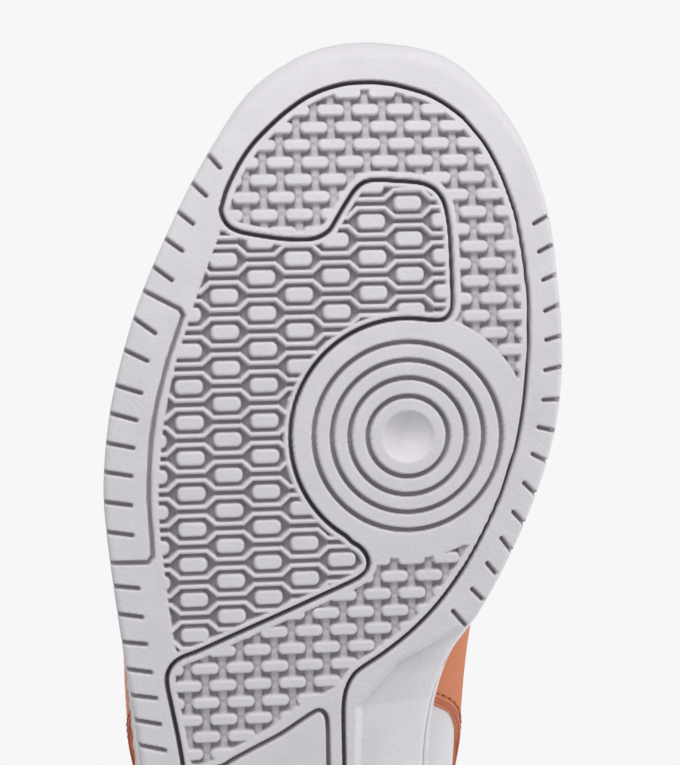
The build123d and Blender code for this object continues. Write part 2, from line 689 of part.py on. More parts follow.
pieces["tongue_face"] = tongue_part(*TONGUE_FACE, -TONGUE_GAP)
pieces["tongue_foam"] = tongue_part(*TONGUE_FOAM, -TONGUE_GAP)
pieces["tongue_backing"] = tongue_part(*TONGUE_BACKING, TONGUE_WING)
pieces["tongue_top_face"] = tongue_top_part(*TOP_FACE)
pieces["tongue_top_foam"] = tongue_top_part(*TOP_FOAM)
pieces["tongue_top_backing"] = tongue_top_part(*TOP_BACKING)

rows = eyelets()
pieces["lace"] = laced(rows)
holes = eyelet_holes(rows)
for name in ("eyestay", "eyestay_backing", "quarter", "quarter_lining"):
    for side_name in ("medial", "lateral"):
        punched = name + "_" + side_name
        pieces[punched] = trimmed(pieces[punched].part, drop=[holes])

for name, piece in pieces.items():
    piece.part.label = name
    export_step(piece.part, "parts/" + name + ".step")
    print(name, len(piece.part.solids()), round(piece.part.volume))
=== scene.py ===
"""Looks of a low laced court shoe for the right foot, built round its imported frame."""
# %% [markdown]
# # A court shoe, looked at from below
# The frame gives every hard piece of the shoe at its real size. This lesson adds what the eye wants:
# the moulded tread, the stitched cup wall, leather with its seams, a padded collar and tongue, and
# woven laces. Lengths are worked out in millimetres and turned into metres when a mesh is made.

# %% Load the frame
import math
import bpy
import numpy as np
from mathutils import Matrix, Vector
from mathutils.bvhtree import BVHTree


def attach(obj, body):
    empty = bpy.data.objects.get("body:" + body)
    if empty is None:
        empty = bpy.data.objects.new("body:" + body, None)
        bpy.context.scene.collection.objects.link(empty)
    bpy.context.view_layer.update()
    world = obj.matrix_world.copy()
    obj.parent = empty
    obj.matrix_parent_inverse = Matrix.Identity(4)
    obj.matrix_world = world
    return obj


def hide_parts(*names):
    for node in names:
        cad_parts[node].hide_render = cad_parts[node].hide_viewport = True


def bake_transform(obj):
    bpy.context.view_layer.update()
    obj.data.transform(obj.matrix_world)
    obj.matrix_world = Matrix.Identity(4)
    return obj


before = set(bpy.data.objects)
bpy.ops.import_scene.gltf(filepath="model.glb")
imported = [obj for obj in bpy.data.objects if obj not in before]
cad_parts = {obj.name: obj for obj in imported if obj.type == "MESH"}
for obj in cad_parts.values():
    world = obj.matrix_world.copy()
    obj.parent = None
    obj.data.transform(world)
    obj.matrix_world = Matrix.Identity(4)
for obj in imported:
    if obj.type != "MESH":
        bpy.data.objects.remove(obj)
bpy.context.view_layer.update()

MM = 0.001
print("nodes in the frame:", len(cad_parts))

# %% [markdown]
# ## Curves and surfaces from numbers
# A shoe is all curves, so every piece starts from a smooth line through a few measured points. One
# function makes such a line, another gives how far each point of a surface is from it, and a third
# turns a grid of points into a mesh.

# %% Curve, distance and mesh helpers
def curve(points, step=0.6, closed=False, each=None):
    """A smooth line through points: between two of them it is the cubic whose end slopes are half
    the step between each one's neighbours, sampled about every step millimetres, or each times."""
    p = np.asarray(points, float)
    if closed:
        before, after, far = np.roll(p, 1, 0), np.roll(p, -1, 0), np.roll(p, -2, 0)
        start = p
    else:
        padded = np.vstack([2 * p[0] - p[1], p, 2 * p[-1] - p[-2]])
        before, start, after, far = padded[:-3], padded[1:-2], padded[2:-1], padded[3:]
    pieces = []
    for p0, p1, p2, p3 in zip(before, start, after, far):
        count = each or max(2, int(np.linalg.norm(p2 - p1) / step))
        t = np.linspace(0, 1, count, endpoint=False)[:, None]
        m1, m2 = (p2 - p0) / 2, (p3 - p1) / 2
        pieces.append((2 * t**3 - 3 * t**2 + 1) * p1 + (t**3 - 2 * t**2 + t) * m1
                      + (3 * t**2 - 2 * t**3) * p2 + (t**3 - t**2) * m2)
    if not closed:
        pieces.append(p[-1:])
    return np.vstack(pieces)


def line_distance(x, y, line, closed=False, reach=8.0):
    """Distance from each (x, y) to a line of points: the least distance to any of its segments.
    Points further than reach from the line's box keep the value reach."""
    line = np.vstack([line, line[:1]]) if closed else line
    result = np.full(x.shape, reach)
    for first in range(0, len(line) - 1, 24):
        part = line[first:first + 25]
        low, high = part.min(0) - reach, part.max(0) + reach
        near = (x > low[0]) & (x < high[0]) & (y > low[1]) & (y < high[1])
        if not near.any():
            continue
        px, py = x[near][:, None], y[near][:, None]
        a, d = part[:-1], np.diff(part, axis=0)
        long2 = np.maximum((d**2).sum(1), 1e-9)
        t = np.clip(((px - a[:, 0]) * d[:, 0] + (py - a[:, 1]) * d[:, 1]) / long2, 0, 1)
        gap = np.hypot(px - a[:, 0] - t * d[:, 0], py - a[:, 1] - t * d[:, 1]).min(1)
        result[near] = np.minimum(result[near], gap)
    return result


def inside(x, y, outline):
    """True where (x, y) is inside a closed outline: a ray along x crosses it an odd number of times."""
    result = np.zeros(x.shape, bool)
    for (x1, y1), (x2, y2) in zip(outline, np.roll(outline, -1, 0)):
        if y1 != y2:
            result ^= ((y1 > y) != (y2 > y)) & (x < (x2 - x1) * (y - y1) / (y2 - y1) + x1)
    return result


def wall(s, width=0.5):
    """A moulded wall seen from above: 0 outside, 1 inside, a smooth slope as wide as width."""
    t = np.clip(s / width + 0.5, 0, 1)
    return t * t * (3 - 2 * t)


def grid_piece(name, points, material, body="shoe", close_u=False, close_v=False, flip=False):
    """A mesh from a grid of points (rows, columns, 3) in millimetres, one quad to a cell."""
    rows, columns = points.shape[:2]
    index = np.arange(rows * columns).reshape(rows, columns)
    u = np.vstack([index, index[:1]]) if close_u else index
    u = np.hstack([u, u[:, :1]]) if close_v else u
    quads = np.stack([u[:-1, :-1], u[1:, :-1], u[1:, 1:], u[:-1, 1:]], -1).reshape(-1, 4)
    return mesh_piece(name, points.reshape(-1, 3), quads[:, ::-1] if flip else quads, material, body)


def mesh_piece(name, vertices, faces, material, body="shoe"):
    """A smooth-shaded mesh object from whole arrays of vertices (mm) and equal-sided faces."""
    mesh = bpy.data.meshes.new(name)
    sides = faces.shape[1]
    mesh.vertices.add(len(vertices))
    mesh.vertices.foreach_set("co", (np.asarray(vertices) * MM).astype(np.float32).ravel())
    mesh.loops.add(faces.size)
    mesh.loops.foreach_set("vertex_index", faces.astype(np.int32).ravel())
    mesh.polygons.add(len(faces))
    mesh.polygons.foreach_set("loop_start", np.arange(0, faces.size, sides, dtype=np.int32))
    mesh.polygons.foreach_set("use_smooth", np.ones(len(faces), bool))
    mesh.update(calc_edges=True)
    piece = bpy.data.objects.new(name, mesh)
    bpy.context.scene.collection.objects.link(piece)
    mesh.materials.append(material)
    if body:
        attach(piece, body)
    print(name, len(vertices), "vertices", len(faces), "faces")
    return piece


# %% [markdown]
# ## Materials
# White cup rubber comes out of an etched steel mould, so it is matt with a fine pebble. The upper is
# coated split leather with a tight grain. Threads are bonded polyester, and the lining is a knit.

# %% Material helpers
def linear(hex_colour):
    """sRGB hex to the linear colour that Blender's sockets take."""
    parts = np.array([int(hex_colour[i:i + 2], 16) for i in (1, 3, 5)]) / 255
    values = np.where(parts <= 0.04045, parts / 12.92, ((parts + 0.055) / 1.055) ** 2.4)
    return (*values, 1.0)


def node(tree, kind, settings=None, links=None):
    """Adds a shader node, sets its properties and sockets, and links its inputs."""
    made = tree.nodes.new(kind)
    for key, value in (settings or {}).items():
        if isinstance(key, str) and hasattr(made, key):
            setattr(made, key, value)
        else:
            made.inputs[key].default_value = value
    for key, source in (links or {}).items():
        tree.links.new(source, made.inputs[key])
    return made


def finish_material(name, roughness, ior=1.5, **sockets):
    """A new material with only its Principled shader, and Object coordinates in metres."""
    material = bpy.data.materials.new(name)
    material.use_nodes = True
    tree = material.node_tree
    shader = tree.nodes["Principled BSDF"]
    shader.inputs["Roughness"].default_value = roughness
    shader.inputs["IOR"].default_value = ior
    for key, value in sockets.items():
        shader.inputs[key.replace("_", " ")].default_value = value
    place = node(tree, "ShaderNodeTexCoord").outputs["Object"]
    return material, tree, shader, place


def grain(tree, shader, place, size_mm, depth_mm, second=None):
    """Bump from a noise whose cells are size_mm wide, on top of an optional second height."""
    noise = node(tree, "ShaderNodeTexNoise", {"Scale": 1000 / size_mm, "Detail": 3.0, "Roughness": 0.6},
                 {"Vector": place})
    height = noise.outputs["Fac"]
    if second is not None:
        height = node(tree, "ShaderNodeMath", {"operation": "ADD"}, {0: height, 1: second}).outputs[0]
    bump = node(tree, "ShaderNodeBump", {"Strength": 1.0, "Distance": depth_mm * MM}, {"Height": height})
    tree.links.new(bump.outputs["Normal"], shader.inputs["Normal"])


def mottled(tree, shader, place, light, dark, size_mm):
    """Base colour that drifts between two shades over patches size_mm wide."""
    noise = node(tree, "ShaderNodeTexNoise", {"Scale": 1000 / size_mm, "Detail": 4.0}, {"Vector": place})
    spread = node(tree, "ShaderNodeMapRange", {"From Min": 0.35, "From Max": 0.65},
                  {"Value": noise.outputs["Fac"]})
    mix = node(tree, "ShaderNodeMix", {"data_type": "RGBA", 6: linear(dark), 7: linear(light)},
               {0: spread.outputs[0]})
    tree.links.new(mix.outputs[2], shader.inputs["Base Color"])
    return mix


# %% Rubber, leather, thread and cloth
def moulded_rubber(name, light, dark, painted_recess_shade=None):
    """Cup rubber: matt from an etched mould, with a faint pebble 1 mm wide that shows on plain faces.
    With a shade colour, a per-point attribute paints shade into the piece's recesses, mixing them towards
    that darker grey."""
    material, tree, shader, place = finish_material(name, 0.62, 1.52)
    tone = mottled(tree, shader, place, light, dark, 9)
    # painted shade: the recesses are mixed towards the darker grey by the attribute
    if painted_recess_shade:
        depth = node(tree, "ShaderNodeAttribute", {"attribute_name": "painted_recess_shade"}).outputs["Fac"]
        painted_shade_mix = node(tree, "ShaderNodeMix", {"data_type": "RGBA", 7: linear(painted_recess_shade)},
                      {0: depth, 6: tone.outputs[2]})
        tree.links.new(painted_shade_mix.outputs[2], shader.inputs["Base Color"])
    grain(tree, shader, place, size_mm=1.0, depth_mm=0.16)
    return material


def coated_leather(name, light, dark):
    """Corrected-grain leather: pigment coat with soft gloss over cells about 0.85 mm wide."""
    material, tree, shader, place = finish_material(name, 0.46, 1.48)
    mottled(tree, shader, place, light, dark, 14)
    cells = node(tree, "ShaderNodeTexVoronoi", {"feature": "DISTANCE_TO_EDGE", "Scale": 1000 / 0.85},
                 {"Vector": place})
    edge = node(tree, "ShaderNodeMapRange", {"From Max": 0.12, "To Max": 0.8}, {"Value": cells.outputs[0]})
    grain(tree, shader, place, size_mm=0.5, depth_mm=0.06, second=edge.outputs[0])
    return material


def woven(name, light, dark, thread_mm, depth_mm=0.12):
    """A plain weave: two wave patterns at right angles, one rise for each thread."""
    material, tree, shader, place = finish_material(name, 0.85, Sheen_Weight=0.25)
    mottled(tree, shader, place, light, dark, 6)
    wave_scale = 1000 / (thread_mm * 20)
    rises = [node(tree, "ShaderNodeTexWave",
                  {"bands_direction": axis, "Scale": wave_scale, "Distortion": 0.6},
                  {"Vector": place}).outputs["Fac"] for axis in "XY"]
    both = node(tree, "ShaderNodeMath", {"operation": "MULTIPLY"}, {0: rises[0], 1: rises[1]})
    grain(tree, shader, place, thread_mm, depth_mm, both.outputs[0])
    return material


white_rubber = moulded_rubber("cup_rubber_etched_mould", "#E7E4E7", "#E3E0E3")
# the last colour, #6A656B, is painted shade for the tread's recesses
tread_rubber = moulded_rubber("tread_rubber_painted_recess_shade", "#EAE6E9", "#E5E1E4", "#6A656B")
white_leather = coated_leather("white_corrected_grain_leather", "#EFEEF0", "#EAE9EB")
orange_leather = coated_leather("orange_corrected_grain_leather", "#E6895A", "#E07F4E")
# a darker copy of the orange leather: painted shade on the folded edge
shaded_edge_leather = coated_leather("folded_orange_leather_painted_shade", "#C9653F", "#BC5938")
needle_shadow = finish_material("needle_hole_shadow", 0.9)[0]
needle_shadow.node_tree.nodes["Principled BSDF"].inputs["Base Color"].default_value = linear("#5B2C1E")
white_thread = woven("bonded_polyester_thread", "#F1EFF0", "#DEDBDC", 0.25, 0.05)
orange_thread = woven("orange_bonded_thread", "#D97B4C", "#C5683B", 0.25, 0.05)
lining_knit = woven("knitted_lining", "#EFEFF1", "#E6E6E9", 0.9)
lace_cloth = woven("woven_lace_cotton", "#F5F4F4", "#E4E2E2", 0.8, 0.15)
print("materials:", len(bpy.data.materials))

# %% [markdown]
# ## The camera, the floor and soft light
# The shoe stands on a pale floor, and the camera looks up at the tread from below the toes. The floor
# shows only from above, so it never hides the sole, and it fades out with distance. One broad light
# beyond the toes rakes the tread, so each block gets a bright side and a shaded one. Four more lights
# and a pale world fill the rest.

# %% Camera, floor and light
CAMERA_RIGHT = (-0.01896, 0.99514, -0.09663)
CAMERA_UP = (0.99686, 0.02625, 0.07470)
CAMERA_BACK = (0.07687, -0.09491, -0.99251)
CAMERA_PLACE = (102.34, -41.56, -451.69)
scene = bpy.context.scene
lens = bpy.data.cameras.new("camera")
lens.sensor_fit, lens.sensor_width, lens.lens = "HORIZONTAL", 36.0, 97.94
lens.clip_start, lens.clip_end = 0.01, 20.0
camera = bpy.data.objects.new("camera", lens)
turn = Matrix((CAMERA_RIGHT, CAMERA_UP, CAMERA_BACK)).transposed().to_4x4()
camera.matrix_world = Matrix.Translation(Vector(CAMERA_PLACE) * MM) @ turn
scene.collection.objects.link(camera)
scene.camera = camera
scene.view_settings.view_transform = "Standard"


def soft_light(name, place, aim, size, power):
    """A square white area light at place (mm) that faces aim, size mm wide and power watts strong."""
    lamp = bpy.data.lights.new(name, "AREA")
    lamp.size, lamp.energy = size * MM, power
    holder = bpy.data.objects.new(name, lamp)
    holder.location = Vector(place) * MM
    holder.rotation_euler = (Vector(aim) - Vector(place)).to_track_quat("-Z", "Y").to_euler()
    holder.visible_camera = False
    scene.collection.objects.link(holder)


soft_light("toe_light", (650, 60, -380), (20, 0, 0), 380, 2.6)
soft_light("below_light", (60, -380, -620), (20, 0, 0), 500, 0.7)
soft_light("top_light", (150, -350, 900), (0, 0, 40), 700, 6.0)
soft_light("back_light", (-700, 500, 500), (0, 0, 40), 600, 3.0)
soft_light("inner_light", (-60, 640, -60), (-30, 40, 30), 300, 1.5)

world = bpy.data.worlds.new("pale_room")
world.use_nodes = True
air = world.node_tree
air.nodes.clear()
seen = node(air, "ShaderNodeBackground", {"Color": linear("#F7F7F8"), "Strength": 1.0})
fill = node(air, "ShaderNodeBackground", {"Color": linear("#F4F5FA"), "Strength": 0.42})
path = node(air, "ShaderNodeLightPath")
choice = node(air, "ShaderNodeMixShader", {},
              {0: path.outputs["Is Camera Ray"], 1: fill.outputs[0], 2: seen.outputs[0]})
node(air, "ShaderNodeOutputWorld", {}, {"Surface": choice.outputs[0]})
scene.world = world

floor_material, tree, shader, place = finish_material("pale_floor", 0.9)
shader.inputs["Base Color"].default_value = linear("#9A9A9C")
shader.inputs["Emission Color"].default_value = linear("#F2F2F4")
shader.inputs["Emission Strength"].default_value = 0.55
clear = node(tree, "ShaderNodeBsdfTransparent")
facing = node(tree, "ShaderNodeNewGeometry")
far = node(tree, "ShaderNodeVectorMath", {"operation": "LENGTH"}, {0: place})
fade = node(tree, "ShaderNodeMapRange", {"From Min": 0.35, "From Max": 1.5},
            {"Value": far.outputs["Value"]})
gone = node(tree, "ShaderNodeMath", {"operation": "MAXIMUM"},
            {0: facing.outputs["Backfacing"], 1: fade.outputs[0]})
swap = node(tree, "ShaderNodeMixShader", {},
            {0: gone.outputs[0], 1: shader.outputs[0], 2: clear.outputs[0]})
tree.links.new(swap.outputs[0], tree.nodes["Material Output"].inputs["Surface"])
FLOOR_HALF, FLOOR_Z = 3000, -0.4
corners = np.array([[across, along, FLOOR_Z] for across, along in (
    (-FLOOR_HALF, -FLOOR_HALF), (FLOOR_HALF, -FLOOR_HALF),
    (FLOOR_HALF, FLOOR_HALF), (-FLOOR_HALF, FLOOR_HALF))])
floor = mesh_piece("floor", corners, np.array([[0, 1, 2, 3]]), floor_material, body=None)
floor.visible_shadow = floor.visible_diffuse = floor.visible_glossy = False

# %% [markdown]
# ## The tread as a landscape
# A mould maker mills the tread's negative from a height map, and the same is done here: one function
# gives how far the rubber is drawn back at every point of the sole. Fields of small blocks and wavy
# ribs are sunk into it, narrow channels part them, and a round disc lets the foot turn. The ground
# line itself rises at the toe and the heel.

# %% The sole's outline and its ground line
SOLE_EDGE = [
    (151.7, 16), (148.7, 30), (140.9, 40), (127.8, 49), (110, 54.7), (92.5, 56.8), (71, 57.6),
    (52, 55.1), (34, 49), (16, 40.2), (0, 30.6), (-14.5, 24.5), (-30, 22), (-50, 22.6), (-75, 27.5),
    (-100, 32.6), (-122, 33), (-140, 24.5), (-149.5, 9), (-151.5, -7), (-147.5, -24), (-134, -37.6),
    (-112, -44.6), (-85, -46.8), (-55, -47.8), (-27, -49.6), (-10, -51.6), (11, -54.3), (32, -56.5),
    (45, -56.8), (61, -54.9), (76, -51.2), (91, -46), (110, -37.2), (124, -29.4), (138.8, -19.2),
    (147.5, -7.4), (151.3, 3.6)]
edge = curve(SOLE_EDGE, 0.5, closed=True)
toe_at, heel_at = edge[:, 0].argmax(), edge[:, 0].argmin()
loop = np.roll(edge, -toe_at, 0)
split_at = (heel_at - toe_at) % len(edge)
inner_edge = loop[:split_at + 1][::-1]
outer_edge = np.vstack([loop[split_at:], loop[:1]])


TOE_RADIUS, TOE_FROM = 308, 62
HEEL_RADIUS, HEEL_FROM = 92, -128


def ground_z(x):
    """The ground line: flat, with one large arc that rises to the toe and a smaller one at the heel."""
    toe = TOE_RADIUS - np.sqrt(TOE_RADIUS**2 - np.clip(x - TOE_FROM, 0, 120) ** 2)
    heel = HEEL_RADIUS - np.sqrt(HEEL_RADIUS**2 - np.clip(HEEL_FROM - x, 0, 60) ** 2)
    return toe + heel


print("sole", round(float(np.ptp(edge[:, 0])), 1), "by", round(float(np.ptp(edge[:, 1])), 1), "mm")

# %% Channels
PERIMETER = [
    (110.2, -26.5), (114.6, -25.1), (118, -23.5), (121.6, -21.5), (125.3, -18.9), (128.7, -15.8),
    (132.9, -11.2), (135.3, -8.1), (137.5, -4.8), (139.3, -1), (140.5, 2.8), (141.2, 6.5),
    (141.4, 11.6), (141.1, 15.3), (140.4, 19), (138.5, 25.2), (136.6, 28.9), (134.6, 31.8),
    (132.3, 34.5), (129.2, 37.1), (125.7, 39.7), (121.4, 42), (117.2, 43.8), (112.4, 45.4),
    (107.9, 46.7), (103.4, 47.5), (97.7, 48.3), (91.5, 48.9), (86.6, 49.2), (75.4, 49), (63, 47.9),
    (52.6, 46.1), (46.9, 44.5), (40.7, 42.4), (35, 40.1), (25.8, 35.4), (17.7, 30.3), (10.3, 24.4),
    (4.2, 18), (-0.6, 11.6), (-4.6, 5.3), (-6.8, 3.2), (-9.5, 1.9), (-12.8, 1.2), (-17.1, 1),
    (-28.5, 1), (-50, 1), (-62, 3.5), (-76, 11), (-94, 20.5), (-114, 23.5), (-131, 17), (-140, 4),
    (-141.5, -8), (-137.5, -22), (-126, -31.5), (-108, -36.5), (-85, -38), (-60, -38.2), (-26.6, -39.3)]
TOE_CURL = [
    (110.2, -26.5), (108.2, -26), (106.2, -24.6), (105, -22.5), (104.2, -19.5), (103.4, -15.1),
    (102.8, -11), (102.6, -7.3), (102.7, -4.3), (103.4, -1.9), (104.8, 0.2), (107, 1.7), (109.9, 3.5),
    (112.3, 5.1), (114.5, 6.7), (116.2, 8.7), (116.9, 11), (116.9, 14.2), (116.6, 18), (116.3, 21.7),
    (115.7, 24.4), (114.5, 26.6), (112.4, 28.3), (110, 29.2), (106.2, 29.8), (101.8, 30.1),
    (91.9, 30.2), (87, 30.2), (84.5, 29.9), (82.8, 28.8), (82.1, 27.1), (82.2, 24.3)]
ARCH_CURL = [
    (27.4, 4.1), (26.3, 5.8), (24.5, 7.3), (22.3, 8), (20.3, 7.5), (18.8, 5.9), (17.4, 3.2),
    (14.2, -4.4), (10, -14.4), (5.9, -24.4), (1.8, -34.3), (0.5, -38.1), (-0.7, -40.3), (-2.4, -41.8),
    (-4.6, -42.6), (-7.6, -42.5), (-11.4, -41.8), (-19.8, -40.3), (-26.6, -39.3)]
WAIST_PANEL = [
    (-27.1, -28.6), (-23.9, -22.6), (-20.2, -15), (-17.1, -10), (-15.2, -6.9), (-14.5, -5.2),
    (-15.1, -3.9), (-16.6, -3.2), (-19.4, -3), (-28.3, -3), (-60, -3), (-64, -5), (-62, -9),
    (-50, -29), (-46, -31.5), (-30, -31.5)]
RIM_INSET = [
    (91.1, -46.2), (86.2, -37.2), (84.8, -36.4), (82.4, -37.2), (78.8, -38.5), (73.9, -40.3),
    (69.1, -41.7), (64.3, -43), (59.4, -44.1), (54.5, -44.9), (49.6, -45.4), (44.7, -45.7),
    (39.8, -45.9), (34.8, -45.7), (29.9, -45.4), (25.7, -45.3), (24.2, -46.5), (24.4, -55.8)]
DISC, DISC_BORDER = (53.5, 18.4), 29.2
RINGS = (10.0, 14.5, 18.9, 23.4)
angles = np.radians(np.linspace(6, -147, 24))[:, None]
disc_arc = np.array(DISC) + DISC_BORDER * np.hstack([np.cos(angles), np.sin(angles)])
perimeter = curve(PERIMETER)
long_channel = curve([*TOE_CURL, *disc_arc, *ARCH_CURL])
waist_channel = curve(WAIST_PANEL, closed=True)
rim_inset = np.array(RIM_INSET)
print("channels:", len(perimeter), len(long_channel), "points")

# %% Fields
RIB_SIDE = [
    (1.8, -40), (3.6, -40.5), (9.8, -41.3), (17.3, -42.1), (24.8, -42.8), (32.3, -43.4),
    (42.2, -43.4), (54.4, -42.3), (64.2, -40.6), (73.9, -38.2), (82.3, -35.3), (88.4, -33.2),
    (94.7, -30.8), (100, -28.7), (104.3, -26.9)]
LOW_SIDE = [(-26.9, -33.8), (-22.2, -25), (-18.3, -17.5), (-12.8, -9.9), (-9.3, -2.3), (-2.1, 6.6)]
HEEL_SIDE = [(-78, 9.5), (-70, 2), (-69, -8), (-76, -22), (-86, -36)]


def upto(line, x, y):
    """The number of points of a line before the one nearest to (x, y)."""
    return int(np.hypot(line[:, 0] - x, line[:, 1] - y).argmin()) + 1


disc_centre = np.array([DISC])
curl_end = upto(long_channel, *TOE_CURL[-1])
arch_start = upto(long_channel, *ARCH_CURL[0])
arch_side = upto(long_channel, -0.7, -40.3)
toe_field = np.vstack([perimeter[:upto(perimeter, 52.6, 46.1)], disc_centre,
                       long_channel[:curl_end][::-1]])
wave_field = np.vstack([long_channel[:curl_end], disc_centre, long_channel[arch_start:arch_side],
                        curve(RIB_SIDE)])
arch_rim = perimeter[upto(perimeter, 46.9, 44.5):upto(perimeter, -0.6, 11.6)]
arch_field = np.vstack([long_channel[arch_start:], curve(LOW_SIDE), arch_rim[::-1], disc_centre])
heel_from, heel_to = upto(perimeter, -76, 11), upto(perimeter, -85, -38)
heel_field = np.vstack([perimeter[heel_from:heel_to], curve(HEEL_SIDE)[::-1]])

# %% Slits across the rim
OUTER_SLITS = [
    ((123.8, -29.2), (120.5, -26.4)), ((116.9, -33.3), (113.7, -30)), ((110.1, -37.2), (106.9, -33.4)),
    ((103.6, -40.5), (100.4, -36.2)), ((96.9, -43.6), (93.3, -38.9)), ((84.6, -48.8), (80.5, -43.3)),
    ((76.6, -50.9), (73.8, -45.4)), ((68.1, -53.4), (66, -47.1)), ((61.3, -54.8), (59.4, -48.5)),
    ((54, -55.7), (52.6, -49.4)), ((46.9, -56.4), (45.7, -50.1)), ((39.5, -56.6), (38.5, -50.3)),
    ((32.1, -56.3), (31.1, -50.2)), ((18.6, -54.7), (17.9, -49.1)), ((11.6, -53.7), (10.7, -48.4)),
    ((4.6, -52.9), (3.9, -47.6)), ((-2.2, -52.1), (-3.2, -46.5)), ((-8.8, -51.1), (-9.7, -45.5)),
    ((-15.1, -50.3), (-16.3, -44.7)), ((-21.4, -49.5), (-22.9, -43.6))]
INNER_SLITS = [
    ((107.3, 54.7), (105.4, 51.3)), ((99.8, 55), (98.4, 52.3)), ((92.6, 56), (91.4, 53.1)),
    ((85.1, 56.5), (83.7, 53.4)), ((77.4, 56.7), (76.5, 53.5)), ((69.7, 56.4), (69, 53.1)),
    ((61.7, 55.8), (61.6, 52.5)), ((54, 54.4), (54.8, 51.2)), ((46.2, 53.1), (48.1, 49.6)),
    ((38, 50.2), (40.9, 47.4)), ((30.8, 47.1), (33.7, 44.6)), ((24.1, 43.7), (27.2, 41.5)),
    ((18.7, 39.6), (21, 37.8)), ((12.2, 36.2), (14.6, 33.9)), ((5.8, 31.8), (9.2, 29))]


HEEL_SLIT_PITCH, HEEL_SLIT_LENGTH = 6.9, 5.4


def heel_slits():
    """Slits round the heel, evenly spaced along the edge and square to it."""
    line = np.vstack([outer_edge[outer_edge[:, 0] < -27][::-1], inner_edge[inner_edge[:, 0] < -78]])
    far = np.concatenate([[0], np.cumsum(np.hypot(*np.diff(line, axis=0).T))])
    places = np.arange(5, far[-1] - 3, HEEL_SLIT_PITCH)
    x, y = np.interp(places, far, line[:, 0]), np.interp(places, far, line[:, 1])
    dx = np.interp(places + 0.5, far, line[:, 0]) - np.interp(places - 0.5, far, line[:, 0])
    dy = np.interp(places + 0.5, far, line[:, 1]) - np.interp(places - 0.5, far, line[:, 1])
    return [((a, b), (a + HEEL_SLIT_LENGTH * v, b - HEEL_SLIT_LENGTH * u))
            for a, b, u, v in zip(x, y, dx, dy)]


open_slits = OUTER_SLITS + heel_slits()
print("slits:", len(open_slits) + len(INNER_SLITS))

# %% The height map
SUNK, CHANNEL_DEPTH, PANEL_DEPTH, CUT_DEPTH, DIMPLE_DEPTH = 2.4, 3.0, 2.4, 1.9, 3.0
CHANNEL, FINE_CHANNEL, PANEL_CHANNEL, SLIT, RING = 0.5, 0.42, 0.5, 0.48, 0.56  # half widths
BRICK_FROM, BRICK_PITCH, BRICK_HALF = (121.57, -11.55), (4.294, 4.328), (1.5, 3.5)
WAVE_FROM, WAVE_PITCH, WAVE_HALF = (97.89, -26.26), (4.392, 9.2), (1.85, 3.5)
WAVE_SWING, WAVE_TURN, WAVE_SLOPE = 1.1, 1.2, 0.737  # the last is the cosine of a rib's slope
WAIST_HOLLOW = [  # x, y where the hollow starts, y where it ends
    (8, 35, 37), (-3, 14, 31), (-14, 4.2, 27), (-30, 3.4, 24), (-50, 3.6, 24),
    (-64, 8, 27), (-80, 28, 30)]


def lattice(x, y, start, pitch):
    """Offset from the nearest of a staggered lattice of points, start + (j, i) pitch with i + j even:
    of the nearest even point and the nearest odd one, the closer, counted in pitches."""
    offsets = []
    for odd in (0, 1):
        u = (x - start[0] - odd * pitch[0]) / (2 * pitch[0])
        v = (y - start[1] - odd * pitch[1]) / (2 * pitch[1])
        offsets.append(((u - np.round(u)) * 2 * pitch[0], (v - np.round(v)) * 2 * pitch[1]))
    (even_x, even_y), (odd_x, odd_y) = offsets
    even_far = (even_x / pitch[0]) ** 2 + (even_y / pitch[1]) ** 2
    closer = (odd_x / pitch[0]) ** 2 + (odd_y / pitch[1]) ** 2 < even_far
    return np.where(closer, odd_x, even_x), np.where(closer, odd_y, even_y)


def rounded_block(dx, dy, half, radius):
    """How deep a point is inside a block with rounded corners, negative outside."""
    a, b = np.abs(dx) - half[0] + radius, np.abs(dy) - half[1] + radius
    return radius - np.hypot(np.maximum(a, 0), np.maximum(b, 0)) - np.minimum(np.maximum(a, b), 0)


def bricks(x, y):
    """Cover of the brick field: stadium blocks, and low ribs that run lengthwise through the middle of
    each block, a little higher in the gaps between two blocks."""
    dx, dy = lattice(x, y, BRICK_FROM, BRICK_PITCH)
    block = wall(rounded_block(dx, dy, BRICK_HALF, 1.45), 0.8)
    columns = (y - BRICK_FROM[1]) / BRICK_PITCH[1]
    column = np.abs(columns - np.round(columns)) * BRICK_PITCH[1]
    ahead = wall(0.5 - np.abs(np.abs(dx) - 3.2), 2.6)
    return np.maximum(block, (0.42 + 0.14 * ahead) * wall(1.05 - column, 0.9))


def waves(x, y):
    """Cover of the hexagon field: blocks, and between their rows ribs that swing to and fro round the
    blocks on slopes near 45 degrees, as wide there as on the level."""
    pitch_x, pitch_y = WAVE_PITCH
    dx, dy = lattice(x, y, WAVE_FROM, WAVE_PITCH)
    cover = wall(rounded_block(dx, dy, WAVE_HALF, 1.5), 0.75)
    row = np.floor((WAVE_FROM[0] - x) / pitch_x)
    for shift in (-1, 0, 1):
        j = row + shift
        phase = np.abs(((y - WAVE_FROM[1] - pitch_y * np.mod(j, 2)) / (2 * pitch_y) + 0.5) % 1 - 0.5)
        past_turn = pitch_y / 2 - phase * 2 * pitch_y
        swing = np.clip(past_turn / WAVE_TURN, -1, 1) * WAVE_SWING
        centre = WAVE_FROM[0] - pitch_x * (j + 0.5) - swing
        steep = np.abs(past_turn) < WAVE_TURN
        rib = 0.62 - np.abs(x - centre) * np.where(steep, WAVE_SLOPE, 1.0)
        cover = np.maximum(cover, wall(rib, 0.6))
    return cover


